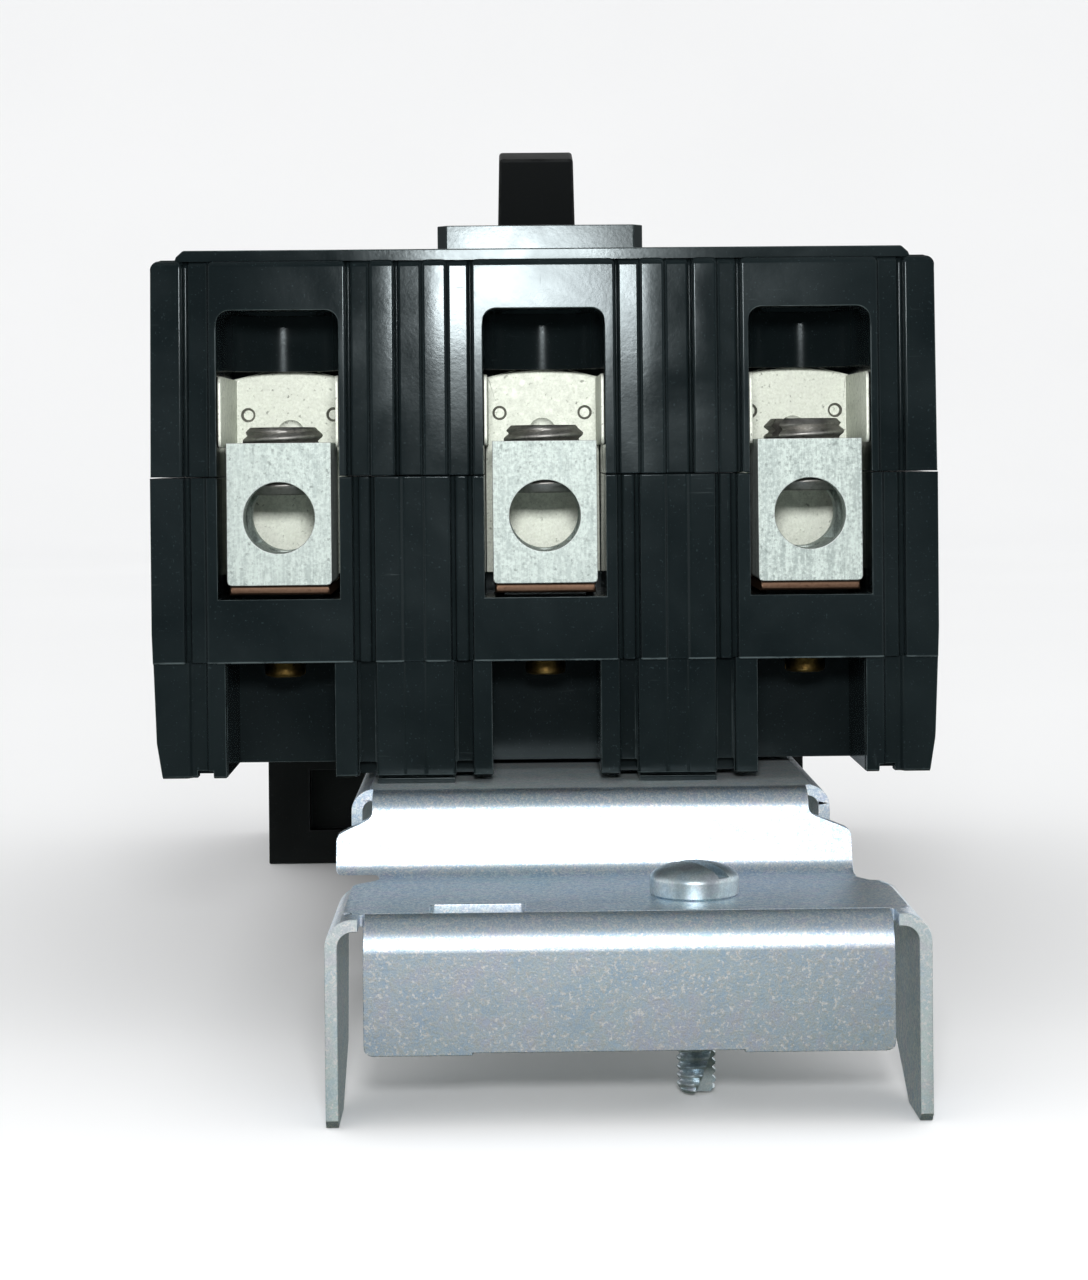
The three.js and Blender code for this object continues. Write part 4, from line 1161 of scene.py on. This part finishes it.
def bracket_spine():
    """Top, upper flange, ledge and front flange: one sheet bent three times, then trimmed."""
    half = SHEET / 2
    top, ledge, flange = BRACKET_TOP - half, LEDGE_TOP - half, FLANGE_FRONT + half
    path = [(CHANNEL_BACK, top), (-6.3, top), (-9.4, ledge), (flange, ledge), (flange, -27.5)]
    sheet = prism(folded_strip(path, SHEET, [2.8, 3.0, 3.4]), "X", (-30, 50), "bracket")
    plan = block((CHANNEL_X[0] + 2.5, CHANNEL_X[1] - 2.5), (-4, CHANNEL_BACK + 1), (-4, 1), "plan")
    (left, right), low = FLANGE_X, FLANGE_BOTTOM
    front = rounded([(left, low), (right, low), (right, -9), (left, -9)], 1.2, 5)
    combine(plan, [
        prism(rounded(upper_flange_outline(), 0.9, 4), "Y", (-13, -3.9)),
        prism(rounded(ledge_outline(), 2.2, 5), "Z", (ledge - 2.1, ledge + 2.1)),
        prism(front, "Y", (FLANGE_FRONT - 1, -35.9)),
    ], "UNION")
    return combine(sheet, [plan], "INTERSECT")


def bracket_channel():
    """The channel under the case, bent down along both sides."""
    half = SHEET / 2
    top = BRACKET_TOP - half
    left, right = CHANNEL_X[0] + half, CHANNEL_X[1] - half
    outline = folded_strip([(left, -10), (left, top), (right, top), (right, -10)], SHEET, 2.2)
    return prism(outline, "Y", (-4, CHANNEL_BACK))


def bracket_legs():
    """Two legs bent down from the ends of the ledge, cut away above the front flange."""
    half = SHEET / 2
    ledge = LEDGE_TOP - half
    left, right = LEG_X[0] + half, LEG_X[1] - half
    outline = folded_strip([(left, -36), (left, ledge), (right, ledge), (right, -36)], SHEET, 2.6)
    legs = prism(outline, "Y", (-45, -10))
    foot = -LEG_HEIGHT
    side = [
        (FLANGE_FRONT, -9), (FLANGE_FRONT, foot + 1), (FLANGE_FRONT + 1, foot),
        (-30.6, foot), (-20, -30), (-16, -9),
    ]
    combine(legs, [prism(side, "X", (-30, 50))], "INTERSECT")
    gap = (FLANGE_FRONT - 1, -36.5)
    return combine(legs, [
        block((LEG_X[0] + LEG_END_WIDTH, FLANGE_X[0]), gap, (-14, -9)),
        block((FLANGE_X[1], LEG_X[1] - LEG_END_WIDTH), gap, (-14, -9)),
        block((-22.5, 40.2), (FLANGE_FRONT - 1, -36), (-13.6, -9)),
    ])


def build_bracket():
    """The stamped bracket, one piece of bent sheet, with duller sheared ends, and painted light on its
    top where it lies under the case.
    """
    obj = bracket_spine()
    combine(obj, [bracket_channel(), bracket_legs()], "UNION")
    (left, right), (front, back) = LEVER_SLOT
    lever_slot = rounded([(left, front), (right, front), (right, back), (left, back)], 0.6)
    through_ledge = (-15, -9)
    combine(obj, [
        prism(lever_slot, "Z", through_ledge),
        block((-9.6, 22.3), (FLANGE_FRONT - 1, -37), (-28, -27.2)),
        hole(MOUNTING_SCREW, 2.8, through_ledge, 48),
        *[hole((side * PARTITION_X, 44), 2.3, (-4, 1)) for side in (-1, 1)],
    ])
    clean(obj, 0.3, 0.006)
    round_edges(obj, 0.08, 1, 40)
    finish_piece(obj, "mounting_bracket", "zinc_sheet")
    obj.data.materials.append(MATERIALS["zinc_cut_edge_and_painted_light"])
    for face in obj.data.polygons:
        middle = (face.center - ORIGIN) / MM
        on_leg = middle.x < LEG_X[0] + 4.2 or middle.x > LEG_X[1] - 4.2
        cut = on_leg and middle.y < FLANGE_FRONT + 0.3 and face.normal.y < -0.5
        # Painted light: the top of the bracket under the case takes the paler cut-edge zinc, which
        # brightens the strip that lies in shade behind the feet.
        painted_light_under_case = middle.z > BRACKET_TOP - 0.05 and face.normal.z > 0.9
        if cut or painted_light_under_case:
            face.material_index = 1


def build_mounting_screw():
    """The captive screw: a slotted domed head, and a thread-cutting shank with a slanted flute."""
    x, y = MOUNTING_SCREW
    under = LEDGE_TOP + 0.02
    rim, wide = under + 1.9, MOUNTING_HEAD_RADIUS
    turns = [math.radians(7 * k) for k in range(1, 13)]
    dome = [(wide * math.cos(t), rim + 2.1 * math.sin(t)) for t in turns]
    head = [
        (2.5, under - 0.3), (2.6, under), (wide - 0.2, under), (wide, under + 0.2), (wide, rim), *dome,
    ]
    span = (-35.6, under - 0.6)
    radius, depth, pitch = 2.38, 0.42, 1.05
    obj = threaded("captive_screw", MOUNTING_SCREW, span, radius, depth, pitch, (1.75, 2.0), head)
    slot = turned_block((14, 1.7, 3.2), (x, y, under + 4.1), -50)
    flute = turned_block((1.9, 3, 11), (x + 1.75, y - 2.0, -33), 24, "Y")
    combine(obj, [slot, flute])
    finish_piece(obj, "mounting_screw", "zinc_screw", 34)


def build_button_spring():
    """The coil under the trip button."""
    obj = copy_of("trip_button_spring", "button_spring")
    finish_piece(obj, "trip_button_spring", "mechanism_steel")
    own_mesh(obj)


# Pieces that keep their CAD shape and only get a material.
INNER_FINISH = {
    "bimetal": "mechanism_steel",
    "magnet_yoke": "mechanism_steel",
    "flex_braid": "copper",
    "line_strap": "copper",
    "line_jaw": "copper",
    "arc_chute": "insulating_fibre",
    "contact_arm": "copper",
    "mechanism_frame": "mechanism_steel",
    "cradle": "mechanism_steel",
    "toggle_link_upper": "mechanism_steel",
    "toggle_link_lower": "mechanism_steel",
    "handle_yoke": "mechanism_steel",
    "trip_bar": "insulating_fibre",
    "crossbar": "insulating_fibre",
    "toggle_spring": "mechanism_steel",
}


def dress_inner_nodes():
    """Gives the hidden pieces their materials."""
    for name, node in frame["nodes"].items():
        stem = name.rstrip("_0123456789")
        finish = INNER_FINISH.get(name) or INNER_FINISH.get(stem)
        if finish:
            node.data.materials.clear()
            node.data.materials.append(MATERIALS[finish])


def main():
    make_materials()
    add_camera()
    add_world()
    add_flash()
    add_floor()
    add_cards()
    dress_inner_nodes()
    build_cover()
    build_base()
    refined("jaw_housing", "housing_phenolic", 0.25)
    refined("handle", "handle_plastic", 0.5, 3)
    refined("handle_shutter", "handle_plastic", 0.2)
    refined("trip_button", "button_red", 0.2)
    build_button_spring()
    build_bracket()
    build_mounting_screw()
    for i in (1, 2, 3):
        build_lug(i)
        build_lug_screw(i)
        build_terminal_screw(i)
        build_load_strap(i)
        build_barrier_plate(i)
    for i in (1, 2, 3, 4):
        refined(f"cover_screw_{i}", "zinc_screw", 0.12)
    for i in (1, 2):
        refined(f"bracket_screw_{i}", "zinc_screw", 0.2)


main()
